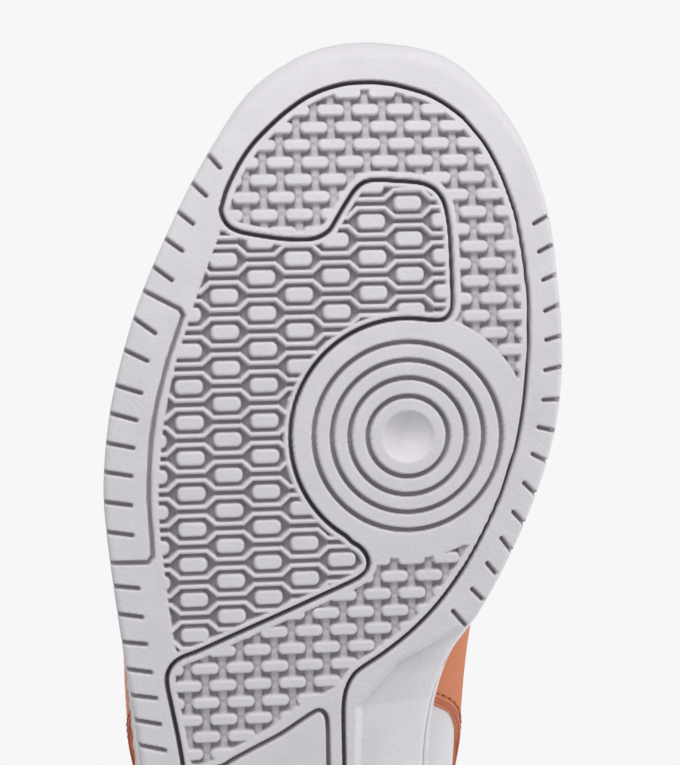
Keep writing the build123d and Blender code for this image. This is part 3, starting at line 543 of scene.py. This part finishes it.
def field_cover(x, y, to_perimeter, to_channel):
    """Cover of the whole sole, 1 where the rubber is full: each field's pattern, with the borders that
    stay full beside its channels."""
    cover = np.ones(x.shape)
    for field, pattern, border in ((toe_field, bricks, 2.2), (arch_field, bricks, 2.2),
                                   (heel_field, bricks, 2.2), (wave_field, waves, 1.85)):
        close = (x > field[:, 0].min() - 2) & (x < field[:, 0].max() + 2)
        fx, fy = x[close], y[close]
        outside = np.where(inside(fx, fy, field), -1, 1)
        away = line_distance(fx, fy, field, closed=True, reach=1.5) * outside
        part = np.maximum(pattern(fx, fy), wall(away + 0.1, 0.6))
        part = np.maximum(part, wall(border - to_channel[close], 0.6))
        part = np.maximum(part, wall(2.15 - to_perimeter[close], 0.6))
        cover[close] = np.minimum(cover[close], part)
    return cover


def cut_line(x, y, start, end, past):
    """A slit from start, past mm further out, to end: 1 in it and 0 outside."""
    a, b = np.array(start), np.array(end)
    line = np.array([a + (a - b) / np.hypot(*(a - b)) * past, b])
    return wall(SLIT - line_distance(x, y, line, reach=1.5), 0.4)


def waist_hollow(x, y):
    """Depth of the hollow under the arch: 1.8 mm where it starts, and deeper towards the edge."""
    x_hollow, near, far = np.array(sorted(WAIST_HOLLOW)).T
    near_y, far_y = np.interp(x, x_hollow, near), np.interp(x, x_hollow, far)
    t = np.clip((y - near_y) / np.maximum(far_y - near_y, 1), 0, 1)
    held = wall(y - near_y - 0.8, 2.2) * wall(x + 70, 16) * wall(2 - x, 18)
    return held * (1.8 + 7.7 * t**2.0)


def drawn_back(x, y):
    """How far the rubber is above the ground line at (x, y), in millimetres: the deepest of the recessed
    fields, channels, rings, slits and the waist's hollow, and on top of it the rounded rim. Also how
    much painted shade each recess gets, 0 to 1."""
    to_perimeter, to_channel = line_distance(x, y, perimeter), line_distance(x, y, long_channel)
    from_disc = np.hypot(x - DISC[0], y - DISC[1])
    cover = np.maximum(field_cover(x, y, to_perimeter, to_channel), wall(30.9 - from_disc, 0.6))
    # painted shade: field recesses get 0.62 of the shade colour
    height, painted_recess_shade = SUNK * (1 - cover), 0.62 * (1 - cover)
    narrow = (x > 55) & (x < 132) & (y > 30) | (from_disc < 36) & (y > 25)
    fine = np.where(narrow, FINE_CHANNEL, CHANNEL)
    for depth, s, soft in (
            (CHANNEL_DEPTH, fine - to_perimeter, 0.35), (CHANNEL_DEPTH, CHANNEL - to_channel, 0.35),
            (PANEL_DEPTH, PANEL_CHANNEL - line_distance(x, y, waist_channel, True), 0.4),
            (CUT_DEPTH, PANEL_CHANNEL - line_distance(x, y, rim_inset), 0.4)):
        height = np.maximum(height, depth * wall(s, soft))
        # painted shade in channels and panel cuts, by their depth
        painted_recess_shade = np.maximum(painted_recess_shade, depth / CHANNEL_DEPTH * wall(s, soft))
    cuts = [(wall(RING - np.abs(from_disc - radius), 0.35), 0.72) for radius in RINGS]
    cuts += [(cut_line(x, y, start, end, 4), 0.7) for start, end in open_slits]
    cuts += [(cut_line(x, y, start, end, 0.2), 0.7) for start, end in INNER_SLITS]
    # each cut's tone is its share of painted shade
    for cut, tone in cuts:
        height, painted_recess_shade = np.maximum(height, CUT_DEPTH * cut), np.maximum(painted_recess_shade, tone * cut)
    bowl = np.clip(1 - (from_disc / 7.0) ** 2, 0, 1)
    height = np.maximum(height, DIMPLE_DEPTH * wall(6.2 - from_disc, 1.0) * bowl)
    height = np.maximum(height, waist_hollow(x, y))
    rim_radius = 1.5 + 3.5 * wall(x - 132, 44) + 1.2 * wall(-138 - x, 16)
    into = np.clip(line_distance(x, y, edge, True), 0, rim_radius)
    return height + rim_radius - np.sqrt(rim_radius**2 - (rim_radius - into) ** 2), painted_recess_shade


# %% Tread pieces
def tread_piece(name, x_from, x_to, columns, rows):
    """A strip of the sole: each grid line runs from the outer edge to the inner edge. At the toe and
    the heel the lines crowd together, where the outline turns across."""
    x = np.linspace(x_from, x_to, columns)
    if x_to > 150:
        x = x_from + (x_to - x_from) * np.sin(np.linspace(0, math.pi / 2, columns))
    if x_from < -150:
        x = x_to - (x_to - x_from) * np.sin(np.linspace(math.pi / 2, 0, columns))
    low = np.interp(x, outer_edge[:, 0], outer_edge[:, 1])
    high = np.interp(x, inner_edge[:, 0], inner_edge[:, 1])
    s = np.linspace(0, 1, rows)
    gx = np.repeat(x[:, None], rows, 1)
    gy = low[:, None] + (high - low)[:, None] * s
    height, painted_recess_shade = drawn_back(gx, gy)
    piece = grid_piece(name, np.stack([gx, gy, ground_z(gx) + height], -1), tread_rubber, flip=True)
    # the painted recess shade is stored on the mesh as a per-point attribute
    shade = piece.data.attributes.new("painted_recess_shade", "FLOAT", "POINT")
    shade.data.foreach_set("value", painted_recess_shade.astype(np.float32).ravel())
    return piece


joins = [edge[:, 0].min(), -66, 0, 60, 108, edge[:, 0].max()]
names = ["tread_heel", "tread_waist", "tread_ball", "tread_disc", "tread_toe"]
tread_rows = 330
counts = [230, 200, 200, 160, 200]
for name, x_from, x_to, columns in zip(names, joins, joins[1:], counts):
    piece = tread_piece(name, x_from, x_to, columns, tread_rows)
    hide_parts("outsole")

# %% [markdown]
# ## The cup's wall and its stitches
# The cup's side leans in a little and flares at the waist, where it carries the upper. Near its top
# runs a sunk channel, and the thread that holds cup and upper together lies in it. The wall is one
# profile carried round the outline: up from the tread, into the channel, out again, over a soft lip
# and in under the leather.

# %% The wall
WALL_TOP = [(-158, 36), (-130, 34), (-100, 31.5), (-60, 28.5), (-20, 26.5), (20, 26), (60, 26.5),
            (100, 28.5), (125, 31), (145, 34.5), (158, 37)]
STITCH_DROP, STITCH_BAND = 5.0, 2.0
LIP = [(-0.75, 0.75), (-0.4, 1.05), (0.4, 1.05), (0.75, 0.75), (1.0, 0.25), (1.4, 0.0), (2.6, 0.0),
       (3.6, 0.1), (4.3, 0.4), (4.75, 0.9), (5.0, 1.6), (5.0, 3.0), (4.2, 7.0), (-2.0, 7.4)]


def along_edge(step):
    """Points round the outline at even steps, with the unit vector along it and the one inwards."""
    line = np.vstack([loop, loop[:1]])
    far = np.concatenate([[0], np.cumsum(np.hypot(*np.diff(line, axis=0).T))])
    count = int(far[-1] / step)
    places = np.arange(count) * far[-1] / count
    point = np.stack([np.interp(places, far, line[:, k]) for k in (0, 1)], -1)
    ahead = np.roll(point, -2, 0) - np.roll(point, 2, 0)
    ahead /= np.hypot(*ahead.T)[:, None]
    return point, ahead, np.stack([-ahead[:, 1], ahead[:, 0]], -1)


def wall_point(point, inward, z, inset=0.0):
    """A point of the wall at height z. For every 30 mm of height the outline is drawn in by 1.3 mm, and
    at the waist let out by 5.5 mm inside and 4 mm outside. Then it is drawn in by inset."""
    share = np.clip(z / 30, 0, 1.4)
    waist = np.exp(-(((point[:, 0] + 29) / 34) ** 2)) * np.where(point[:, 1] > 0, 5.5, -4.0)
    x = point[:, 0] + inward[:, 0] * (1.3 * share + inset)
    y = point[:, 1] + inward[:, 1] * (1.3 * share + inset) + waist * share
    return np.stack([x, y, z], -1)


def wall_top(x):
    """The wall's top edge: a smooth line through its side-view points."""
    line = curve(WALL_TOP, 2.0)
    return np.interp(x, line[:, 0], line[:, 1])


point, _, inward = along_edge(0.45)
rim_z = ground_z(point[:, 0]) + drawn_back(point[:, 0], point[:, 1])[0]
top_z = wall_top(point[:, 0])
seam_z = top_z - STITCH_DROP
rings = [wall_point(point, inward, rim_z + 1.5, 2.5), wall_point(point, inward, rim_z + 0.05, 0.6),
         np.column_stack([point, rim_z])]
for share in (0.08, 0.2, 0.4, 0.6, 0.8, 0.93, 1.0):
    z = rim_z + (seam_z - STITCH_BAND / 2 - rim_z) * share
    rings.append(wall_point(point, inward, z, 0.25 * share**8))
for above_seam, inset in LIP:
    rings.append(wall_point(point, inward, seam_z + above_seam, inset))
cup_wall = grid_piece("cup_wall", np.stack(rings), white_rubber, close_v=True, flip=True)
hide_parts("cup_sidewall")


# %% Stitches
def tubes(name, points, material):
    """Many tubes in one mesh, from points (tubes, rings, points round each ring, 3)."""
    index = np.arange(points[..., 0].size).reshape(points.shape[:3])
    index = np.concatenate([index, index[:, :, :1]], 2)
    quads = np.stack([index[:, :-1, :-1], index[:, :-1, 1:], index[:, 1:, 1:], index[:, 1:, :-1]], -1)
    return mesh_piece(name, points.reshape(-1, 3), quads.reshape(-1, 4)[:, ::-1], material)


def stitches(name, start, end, out, radius, material, arch=0.3):
    """One capsule a stitch: a round section carried from start to end (each an array of points),
    rising by arch in the middle along out, and narrowing almost to a point at both ends."""
    along = end - start
    side = np.cross(out, along)
    side /= np.linalg.norm(side, axis=1)[:, None]
    up = np.cross(along, side)
    up /= np.linalg.norm(up, axis=1)[:, None]
    t = np.array([0, 0.04, 0.14, 0.32, 0.5, 0.68, 0.86, 0.96, 1.0])
    size = radius * np.sqrt(np.clip(1 - np.abs(2 * t - 1) ** 3.5, 0.0004, 1))
    turn = np.linspace(0, 2 * math.pi, 8, endpoint=False)
    rise = arch * np.sin(math.pi * t)
    middle = start[:, None] + along[:, None] * t[:, None] + out[:, None] * rise[:, None]
    ring = (side[:, None, None] * np.cos(turn)[:, None] + up[:, None, None] * np.sin(turn)[:, None])
    return tubes(name, middle[:, :, None] + ring * size[:, None, None], material)


stitch_at, stitch_on, stitch_in = along_edge(5.2)
stitch_z = wall_top(stitch_at[:, 0]) - STITCH_DROP
middle = wall_point(stitch_at, stitch_in, stitch_z, 0.55)
half = np.column_stack([stitch_on * 2.15, np.gradient(stitch_z) * 0.4])
wall_stitches = stitches("wall_stitches", middle - half, middle + half,
                         -np.column_stack([stitch_in, np.zeros(len(stitch_in))]), 0.62, white_thread)
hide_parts("sidewall_stitching")

# %% [markdown]
# ## Leather, linings and stiffeners
# The leather panels, linings and stiffeners already have their true shapes in the frame, so they keep
# them and take their finishes. Their seams are added as real rows of stitches laid on the leather.

# %% Finishes of the frame's own pieces
NODE_FINISH = {
    "vamp": white_leather, "toe_overlay": orange_leather, "heel_overlay": orange_leather,
    "heel_tab": orange_leather, "toe_puff": lining_knit, "heel_counter": lining_knit,
    "vamp_lining": lining_knit, "strobel_board": lining_knit, "midsole_foam": white_rubber}
for side in ("medial", "lateral"):
    for part, finish in (("quarter", white_leather), ("saddle", orange_leather),
                         ("eyestay", orange_leather), ("eyestay_backing", lining_knit),
                         ("side_backing", lining_knit), ("quarter_lining", lining_knit)):
        NODE_FINISH[part + "_" + side] = finish
for name, finish in NODE_FINISH.items():
    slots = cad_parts[name].data.materials
    slots.clear()
    slots.append(finish)
print("nodes with a finish:", len(NODE_FINISH))

# %% Seams
SEAM_PITCH, SEAM_LENGTH, SEAM_RADIUS, HOLE_SHADOW_RADIUS = 2.9, 2.2, 0.34, 0.3
trees = {}


def on_node(name, origins, direction):
    """Where straight lines from origins (mm) along direction first meet a node, and the way out."""
    if name not in trees:
        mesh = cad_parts[name].data
        trees[name] = BVHTree.FromPolygons([v.co[:] for v in mesh.vertices],
                                           [p.vertices[:] for p in mesh.polygons])
    hits = [trees[name].ray_cast(Vector(o) * MM, Vector(direction)) for o in origins]
    hits = [(h[0][:], h[1][:]) for h in hits if h[0] is not None]
    if len(hits) < 2:
        return np.zeros((0, 3)), np.zeros((0, 3))
    place, out = (np.array(part) for part in zip(*hits))
    out *= np.where((out * np.array(direction)).sum(1) > 0, -1, 1)[:, None]
    return place / MM, out


def points_at(where, far, values):
    """Rows of values at the distances where, when row i lies at distance far[i]."""
    return np.stack([np.interp(where, far, values[:, k]) for k in range(3)], -1)


def seam(name, node_name, line, view, material):
    """A row of stitches along a line seen from the side (x, z), view +1 inner or -1 outer, or from
    above (x, y), view 0: the line is cast onto the node, and even steps along it are sewn. Orange
    thread also gets dark capsules between its stitches, painted shadow for the needle holes."""
    line = curve(line, 0.5)
    if view:
        origins = [(x, view * 140, z) for x, z in line]
        direction = (0, -view, 0)
    else:
        origins = [(x, y, 220) for x, y in line]
        direction = (0, 0, -1)
    place, out = on_node(node_name, origins, direction)
    if len(place) < 8:
        print("no seam for", name)
        return
    gap = np.linalg.norm(np.diff(place, axis=0), axis=1)
    cuts = [0, *(np.nonzero(gap > 6)[0] + 1), len(place)]
    starts, ends, outs = [], [], []
    for first, last in zip(cuts, cuts[1:]):
        if last - first < 6:
            continue
        run, way = place[first:last], out[first:last]
        far = np.concatenate([[0], np.cumsum(np.linalg.norm(np.diff(run, axis=0), axis=1))])
        at = np.arange(1.0, far[-1] - SEAM_LENGTH - 0.5, SEAM_PITCH)
        starts.append(points_at(at, far, run))
        ends.append(points_at(at + SEAM_LENGTH, far, run))
        outs.append(points_at(at + SEAM_LENGTH / 2, far, way))
    start, end, out = np.vstack(starts), np.vstack(ends), np.vstack(outs)
    out /= np.linalg.norm(out, axis=1)[:, None]
    piece = stitches(name, start + out * 0.02, end + out * 0.02, out, SEAM_RADIUS, material, arch=0.12)
    if material is orange_thread:
        # painted shadow: dark capsules in the gaps where the needle holes hold shade
        gap_from, gap_to = end[:-1], start[1:]
        close = np.linalg.norm(gap_to - gap_from, axis=1) < SEAM_PITCH
        holes = stitches(name.replace("seam", "needle_hole_shadows"), gap_from[close], gap_to[close] + 1e-4,
                         out[:-1][close], HOLE_SHADOW_RADIUS, needle_shadow, arch=0.0)


def beside(line, distance):
    """A side-view line moved to its left by distance, corner by corner."""
    p = np.asarray(line, float)
    along = np.gradient(p, axis=0)
    along /= np.hypot(*along.T)[:, None]
    return p + distance * np.stack([-along[:, 1], along[:, 0]], -1)


def folded_edge(name, node_name, line, view, material):
    """A thin roll of leather along a panel's edge: a flattened tube, 1.6 mm wide, laid on the panel."""
    place, out = on_node(node_name, [(x, view * 140, z) for x, z in curve(line, 0.5)], (0, -view, 0))
    before, after = np.vstack([place[:1], place[:-1]]), np.vstack([place[1:], place[-1:]])
    place = (before + place + after) / 3
    along = np.gradient(place, axis=0)
    side = np.cross(out, along)
    side /= np.linalg.norm(side, axis=1)[:, None]
    turn = np.linspace(0, 2 * math.pi, 10, endpoint=False)
    from_end = np.minimum(np.arange(len(place)), np.arange(len(place))[::-1])
    size = np.sqrt(np.clip(from_end / 3, 0.02, 1))
    ring = side[:, None] * 0.8 * np.cos(turn)[:, None] + out[:, None] * 0.42 * np.sin(turn)[:, None]
    return grid_piece(name, place[:, None] + ring * size[:, None, None] - out[:, None] * 0.1, material,
                      close_v=True, flip=view < 0)


SADDLE_BACK = [(-66, 57.8), (-62, 56.5), (-48, 51), (-37, 45), (-26, 36), (-20, 29)]
SADDLE_FRONT = [(34, 27), (34, 45), (46, 66)]
TOE_BACK = [(34, 41), (60, 42), (88, 47), (108, 54), (118, 62)]
HEEL_FRONT = [(-90, 32), (-99, 46), (-116, 60)]
COLLAR_EDGE = [(-36, 83), (-50, 70.5), (-66, 62), (-84, 60), (-104, 64), (-112, 67)]
for side, view in (("medial", 1), ("lateral", -1)):
    saddle = "saddle_" + side
    seam("seam_saddle_back_" + side, saddle, beside(SADDLE_BACK, 2.0), view, orange_thread)
    # the folded edge takes the darker copy of the orange leather, painted shade
    edge_roll = folded_edge("folded_edge_" + side, saddle, beside(SADDLE_BACK, 0.45), view, shaded_edge_leather)
    for seam_name, node_name, line in (
            ("saddle_front", saddle, beside(SADDLE_FRONT, 2.2)),
            ("toe", "toe_overlay", beside(TOE_BACK, -2.0)),
            ("toe_inner", "toe_overlay", beside(TOE_BACK, -4.6)),
            ("heel", "heel_overlay", beside(HEEL_FRONT, 2.0)),
            ("heel_inner", "heel_overlay", beside(HEEL_FRONT, 4.6)),
            ("heel_top", "heel_overlay", [(-116, 58), (-140, 61), (-146, 62)]),
            ("heel_tab_low", "heel_tab", [(-117, 62.3), (-140, 65.3), (-146, 66)])):
        seam("seam_" + seam_name + "_" + side, node_name, line, view, orange_thread)
    seam("seam_collar_" + side, "quarter_" + side, COLLAR_EDGE, view, white_thread)
    for seam_name, line in (  # x, middle of the throat, distance from it
            ("throat", [(-24, -5, 20), (0, -0.6, 17), (25, 4, 14.2), (40, 6.6, 12.4)]),
            ("eyestay", [(-24, -5, 33.6), (0, -0.6, 30.6), (25, 4, 28), (38, 6.4, 26.6)])):
        from_above = [(x, middle_y + view * reach) for x, middle_y, reach in line]
        seam("seam_" + seam_name + "_" + side, "eyestay_" + side, from_above, 0, orange_thread)

# %% [markdown]
# ## The foot form in numbers
# The upper was lasted over one foot form. The same sections that shaped the frame place the soft
# parts: each section is an arch, and a piece inside the shoe is that arch drawn in by some millimetres.

# %% Foot form
SECTIONS = np.array([  # x, inner rim, inner widest, outer rim, outer widest, crown height, middle
    (-147.0, 7, 6, -20, -19, 112, -6), (-140.0, 19.5, 19.5, -28, -28, 113, -6),
    (-127.0, 27.6, 28, -36.5, -37, 114, -6), (-108.0, 30.5, 31.5, -41.3, -42.3, 114, -6),
    (-85.0, 27.6, 32.5, -44, -46, 112, -7), (-60.0, 23.6, 34.5, -46.2, -49.5, 108, -7),
    (-35.0, 23, 36.6, -48.6, -53, 102.5, -6), (-12.0, 27.2, 38.8, -50.2, -54.2, 95.5, -3),
    (10.0, 36, 43, -51.6, -54, 88, 1), (32.0, 45.4, 48.4, -52.7, -53.6, 79.5, 5),
    (55.0, 51.6, 52, -51.8, -52, 71, 8), (78.0, 53, 52.6, -46.2, -46, 64.5, 10),
    (100.0, 51.3, 50, -37.2, -36.4, 60, 12), (120.0, 46.6, 44, -26.6, -25, 55, 12),
    (134.0, 39, 35.6, -18, -15.6, 49.5, 12), (140.5, 31.6, 28, -11, -8, 45, 12),
    (144.5, 22, 18, 0.5, 3.5, 39.5, 12)])
TOPLINE = [(-27, 112), (-28, 94), (-37, 87), (-50, 74), (-66, 65.5), (-84, 63.5), (-104, 67.5),
           (-124, 77), (-140, 85.5), (-160, 88)]
MIDSOLE_TOP = [(-158, 26.5), (-110, 24.5), (-60, 22), (-10, 18.5), (40, 15.5), (80, 15), (115, 19),
               (140, 24), (158, 28.5)]
ROUND = 2.3


def section(x, column):
    """A section's value at x, straight between the given sections."""
    return np.interp(x, SECTIONS[:, 0], SECTIONS[:, column])


def widest_height(crown):
    """The height where a section is widest: 42 mm, or lower where the crown itself is low."""
    return np.minimum(42, (28 + crown) / 2)


def form_y(x, z, side, inset):
    """y of the form at side-view place (x, z), drawn in by inset: middle + reach (1 - h^2.3)^(1/2.3),
    where h is how far z is from the widest height towards the crown."""
    middle, crown = section(x, 6), section(x, 5) - inset
    if side > 0:
        wide = np.maximum(section(x, 2) - inset, middle + 1)
    else:
        wide = np.minimum(section(x, 4) + inset, middle - 1)
    low = widest_height(crown)
    h = np.clip((z - low) / (crown - low), 0, 0.985)
    return middle + (wide - middle) * (1 - h**ROUND) ** (1 / ROUND)


def form_top(x, y):
    """Height of the form's outside above (x, y), the same arch solved for z."""
    middle, crown = section(x, 6), section(x, 5)
    wide = np.where(y > middle, section(x, 2) - middle, middle - section(x, 4))
    low = widest_height(crown)
    share = np.clip(np.abs(y - middle) / wide, 0, 1)
    return low + (crown - low) * (1 - share**ROUND) ** (1 / ROUND)


topline = curve(TOPLINE, 1.0)[::-1]
midsole_top = curve(MIDSOLE_TOP, 1.0)
print("form sections:", len(SECTIONS))

# %% [markdown]
# ## The padded collar
# Round the ankle a strip of foam is folded into the lining and sewn along the top edge. It swells most
# in the middle of its height and rolls over the leather's edge. It is one closed profile carried round
# the heel, drawn in with the foot form, with small creases where it bends most, behind the heel.

# %% Collar
def capped(rings):
    """Rings of points with one more at each end, drawn together to the end ring's middle."""
    ends = [rings[k:k + 1].mean(1, keepdims=True).repeat(rings.shape[1], 1)
            for k in (0, len(rings) - 1)]
    return np.concatenate([ends[0], rings, ends[1]])


COLLAR_X = [-30, -38, -48, -60, -72, -85, -97, -108, -118, -127, -134, -140, -147]
COLLAR_PROFILE = curve([
    (3.2, -0.4), (3.3, 1.5), (4.8, 3.0), (7.0, 3.5), (9.2, 2.4), (10.8, -0.4), (11.9, -5), (12.4, -10),
    (12.2, -15), (11.0, -20), (9.0, -24), (7.0, -26), (5.2, -26.3), (4.4, -23), (4.3, -14), (4.3, -5)],
    closed=True, each=3)


COLLAR_MIDDLE = (7.0, -9.0)  # the profile shrinks towards this point at the front ends


def collar_line(inset, drop):
    """One line of the collar, from its inner front end round the heel to its outer front end."""
    x = np.array(COLLAR_X, float)
    z = np.interp(x, topline[:, 0], topline[:, 1])
    fade = np.clip((-x - 27) / 14, 0.25, 1) ** 0.5
    middle_inset, middle_drop = COLLAR_MIDDLE
    a = middle_inset + (inset - middle_inset) * fade
    b = middle_drop + (drop - middle_drop) * fade
    inner, outer = (np.stack([x * (1 - a / 147), form_y(x, z + b, side, a), z + b], -1)
                    for side in (1, -1))
    return curve(np.vstack([inner, outer[::-1]]), each=14)


rows = [collar_line(a, b) for a, b in COLLAR_PROFILE]
collar_points = np.stack(rows, 1)
around = np.linspace(0, 1, len(collar_points))[:, None]
height = np.linspace(0, 1, len(rows))[None, :]
crease = 0.35 * np.sin(around * 150 + 4 * np.sin(height * 9)) * np.exp(-((around - 0.5) / 0.1) ** 2)
collar_points[..., 2] += crease * np.sin(height * math.pi)
collar = grid_piece("padded_collar", capped(collar_points), lining_knit, close_v=True)
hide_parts("collar_foam", "collar_lining")

# %% [markdown]
# ## The padded tongue
# The tongue is foam between leather and knit, thin where it passes under the eyestays and thick
# between and above them. Its top stands free and folds forward when the shoe is put on, so the
# one piece bends across the hinge of the frame.

# %% Tongue
THROAT_HALF = [(-24, 17), (0, 14), (25, 11.5), (42, 9.5), (52, 5)]
THROAT_LINE = [(-72, -7), (-24, -5), (25, 4), (50, 8)]
HINGE, LEAN, BOW = np.array([-25.0, -4.5, 98.2]), math.radians(32), 44.0
TONGUE_X = (50, 42, 33, 24, 14, 4, -6, -14, -20)
TONGUE_WIDE = [(-25, 17), (-14, 20), (0, 22), (25, 20), (42, 17), (50, 11)]
TONGUE_TOP = [  # height over the hinge, half width, thickness, rounding of the corners
    (3, 17.5, 6.4, 0), (8, 20.5, 6.8, 0), (14, 23.5, 7.0, 1), (20, 25.8, 7.2, 3), (26, 26.6, 6.8, 6),
    (30.5, 26.4, 5.4, 8.5), (33, 25.6, 2.4, 9.5)]
TONGUE_DEEP = 6.8  # a row's thickness is centred in this depth


def table(points, x):
    """Straight-line value at x of a list of (x, value)."""
    p = np.array(points, float)
    return np.interp(x, p[:, 0], p[:, 1])


def tongue_row(x, wide, across):
    """A row under the laces: it follows the form, thick between the eyestays and thin under them."""
    middle, half = table(THROAT_LINE, x), table(THROAT_HALF, x)
    y = middle + across * wide
    under = wall(np.abs(y - middle) - half + 0.4, 3.0)
    over = form_top(x, y)
    outer = over - 0.9 - 5.2 * under - 0.9 * (across**2)
    inner = over - 7.5
    line = np.full(across.shape, float(x))
    return np.concatenate([np.stack([line, y, outer], -1), np.stack([line, y, inner], -1)[::-1]])


def top_row(rise, wide, thick, round_off, across):
    """A row of the free top, bowed to a radius of 44 mm with its middle forward, swelling in its middle,
    and lower towards its corners by round_off."""
    up = np.array([-math.sin(LEAN), 0, math.cos(LEAN)])
    forward = np.array([math.cos(LEAN), 0, math.sin(LEAN)])
    turn = across * wide / BOW
    level = np.zeros(across.shape)
    sideways = BOW * np.stack([level, np.sin(turn), level], -1)
    spine = HINGE + up * (rise - round_off * across**4)[:, None] + sideways
    spine = spine - forward * (BOW * (1 - np.cos(turn)))[:, None]
    swell = thick * np.clip(1 - across**6, 0.06, 1) ** 0.5
    outer = spine - forward * ((TONGUE_DEEP - swell) / 2)[:, None]
    inner = spine - forward * ((TONGUE_DEEP + swell) / 2)[:, None]
    return np.concatenate([outer, inner[::-1]])


across = np.sin(np.linspace(-math.pi / 2, math.pi / 2, 33))
tongue_rows = [tongue_row(x, table(TONGUE_WIDE, x), across) for x in TONGUE_X]
tongue_rows += [top_row(rise, wide, thick, round_off, across)
                for rise, wide, thick, round_off in TONGUE_TOP]
tongue_control = np.stack(tongue_rows).reshape(len(tongue_rows), -1)
tongue_points = curve(tongue_control, each=7).reshape(-1, 2 * len(across), 3)
last = tongue_points[-1]
tongue_points = np.concatenate([tongue_points, (last + last[::-1])[None] / 2])
tongue = grid_piece("padded_tongue", tongue_points, white_leather, body=None, close_v=True, flip=True)
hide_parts("tongue_face", "tongue_foam", "tongue_backing", "tongue_top_face", "tongue_top_foam",
            "tongue_top_backing")
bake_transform(tongue)

# %% [markdown]
# ## The lace
# A flat woven lace starts as a straight bar and then crosses from side to side up the throat. It is
# held by fourteen punched holes, and its ends are tucked away inside, so no length of it hangs free.
# Each run is a flattened tube that follows the arch of the tongue and dives into its holes.

# %% Lace
LACE_HALF, LACE_THICK = 3.7, 0.75
EYELET_PAIRS, EYELET_FIRST, EYELET_PITCH, EYELET_EDGE = 7, 38, 9.6, 8.0
CROSSING_LIFT = 1.9


def lace_run(start, end, lift):
    """Points of one run: a superellipse section, 7.4 by 1.5 mm, carried along the form from hole to
    hole, lifted in the middle where it crosses over another run."""
    s = np.linspace(0, 1, 56)
    x = start[0] + (end[0] - start[0]) * (s - 0.08 * np.sin(2 * math.pi * s) / math.pi)
    y = start[1] + (end[1] - start[1]) * s
    dive = 5.2 * (1 - wall(np.minimum(s, 1 - s) - 0.045, 0.11))
    z = form_top(x, y) + 0.95 + lift * np.exp(-((s - 0.5) / 0.17) ** 2) - dive
    centre = np.stack([x, y, z], -1)
    along = np.gradient(centre, axis=0)
    step = 0.5
    slope = np.stack([-(form_top(x + step, y) - form_top(x - step, y)) / (2 * step),
                      -(form_top(x, y + step) - form_top(x, y - step)) / (2 * step), np.ones(len(x))], -1)
    side = np.cross(slope, along)
    side /= np.linalg.norm(side, axis=1)[:, None]
    up = np.cross(along, side)
    up /= np.linalg.norm(up, axis=1)[:, None]
    turn = np.linspace(0, 2 * math.pi, 20, endpoint=False)
    a = np.sign(np.cos(turn)) * np.abs(np.cos(turn)) ** 0.55
    b = np.sign(np.sin(turn)) * np.abs(np.sin(turn)) ** 0.8
    squeeze = 0.5 + 0.5 * wall(np.minimum(s, 1 - s) - 0.07, 0.1)
    ribs = 1 + 0.05 * np.cos(turn * 10)
    body = (side[:, None] * (LACE_HALF * squeeze)[:, None, None] * a[:, None]
            + up[:, None] * LACE_THICK * (b * ribs)[:, None])
    return capped(centre[:, None] + body)


holes = []
for row in range(EYELET_PAIRS):
    x = EYELET_FIRST - EYELET_PITCH * row
    reach = table(THROAT_HALF, x) + EYELET_EDGE
    holes.append([(x, table(THROAT_LINE, x) + side * reach) for side in (-1, 1)])
runs = [lace_run(holes[0][0], holes[0][1], 0.0)]
for low, high in zip(holes, holes[1:]):
    runs += [lace_run(low[0], high[1], 0.0), lace_run(low[1], high[0], CROSSING_LIFT)]
lace = tubes("woven_lace", np.stack(runs), lace_cloth)
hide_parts("lace")

# %% [markdown]
# ## The sockliner
# Under the foot lies a die-cut foam sheet with a knit top. Its edge is pressed up a little where it
# meets the upper, so it reads as a shallow tray.

# %% Sockliner
SOCK_HEEL, SOCK_TOE, SOCK_THICK, SOCK_RIM = -134, 131, 5.9, 1.6
x = np.linspace(SOCK_HEEL, SOCK_TOE, 120)[:, None]
s = np.sin(np.linspace(-math.pi / 2, math.pi / 2, 41))[None, :]
high_y, low_y = section(x, 1) - 6.4, section(x, 3) + 6.4
round_end = np.clip(1 - np.maximum((x - 108) / 26, 0) ** 3, 0.05, 1) * np.clip(
    1 - np.maximum((-116 - x) / 21, 0) ** 3, 0.05, 1)
sock_y = (high_y + low_y) / 2 + (high_y - low_y) / 2 * s * round_end**0.5
base_z = np.interp(x, midsole_top[:, 0], midsole_top[:, 1])
upper_z = base_z + SOCK_THICK + SOCK_RIM * s**6
grid_x = np.broadcast_to(x, sock_y.shape)
sock = np.concatenate([np.stack([grid_x, sock_y, upper_z], -1),
                       np.stack([grid_x, sock_y, base_z + 1.7 + 0 * s], -1)[:, ::-1]], 1)
sockliner = grid_piece("sockliner_sheet", capped(sock), lining_knit, close_v=True)
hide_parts("sockliner")

# %% [markdown]
# ## The seam across the toes
# The toe overlay's edge climbs both sides and crosses over the toes. Seen from above, it lies where
# the form's height falls below the panel's slanting side-view border.

# %% Toe seam
across_y = np.linspace(-24, 44, 60)
reach_x = np.linspace(100, 124, 240)[:, None]
border_z = np.interp(reach_x, [88, 108, 120], [47, 54, 64])
edge_x = reach_x[(form_top(reach_x, across_y[None, :]) < border_z).argmax(0), 0]
for name, ahead in (("seam_toe_cross", 2.2), ("seam_toe_cross_inner", 4.8)):
    seam(name, "toe_overlay", np.stack([edge_x + ahead, across_y], -1)[::6], 0, orange_thread)
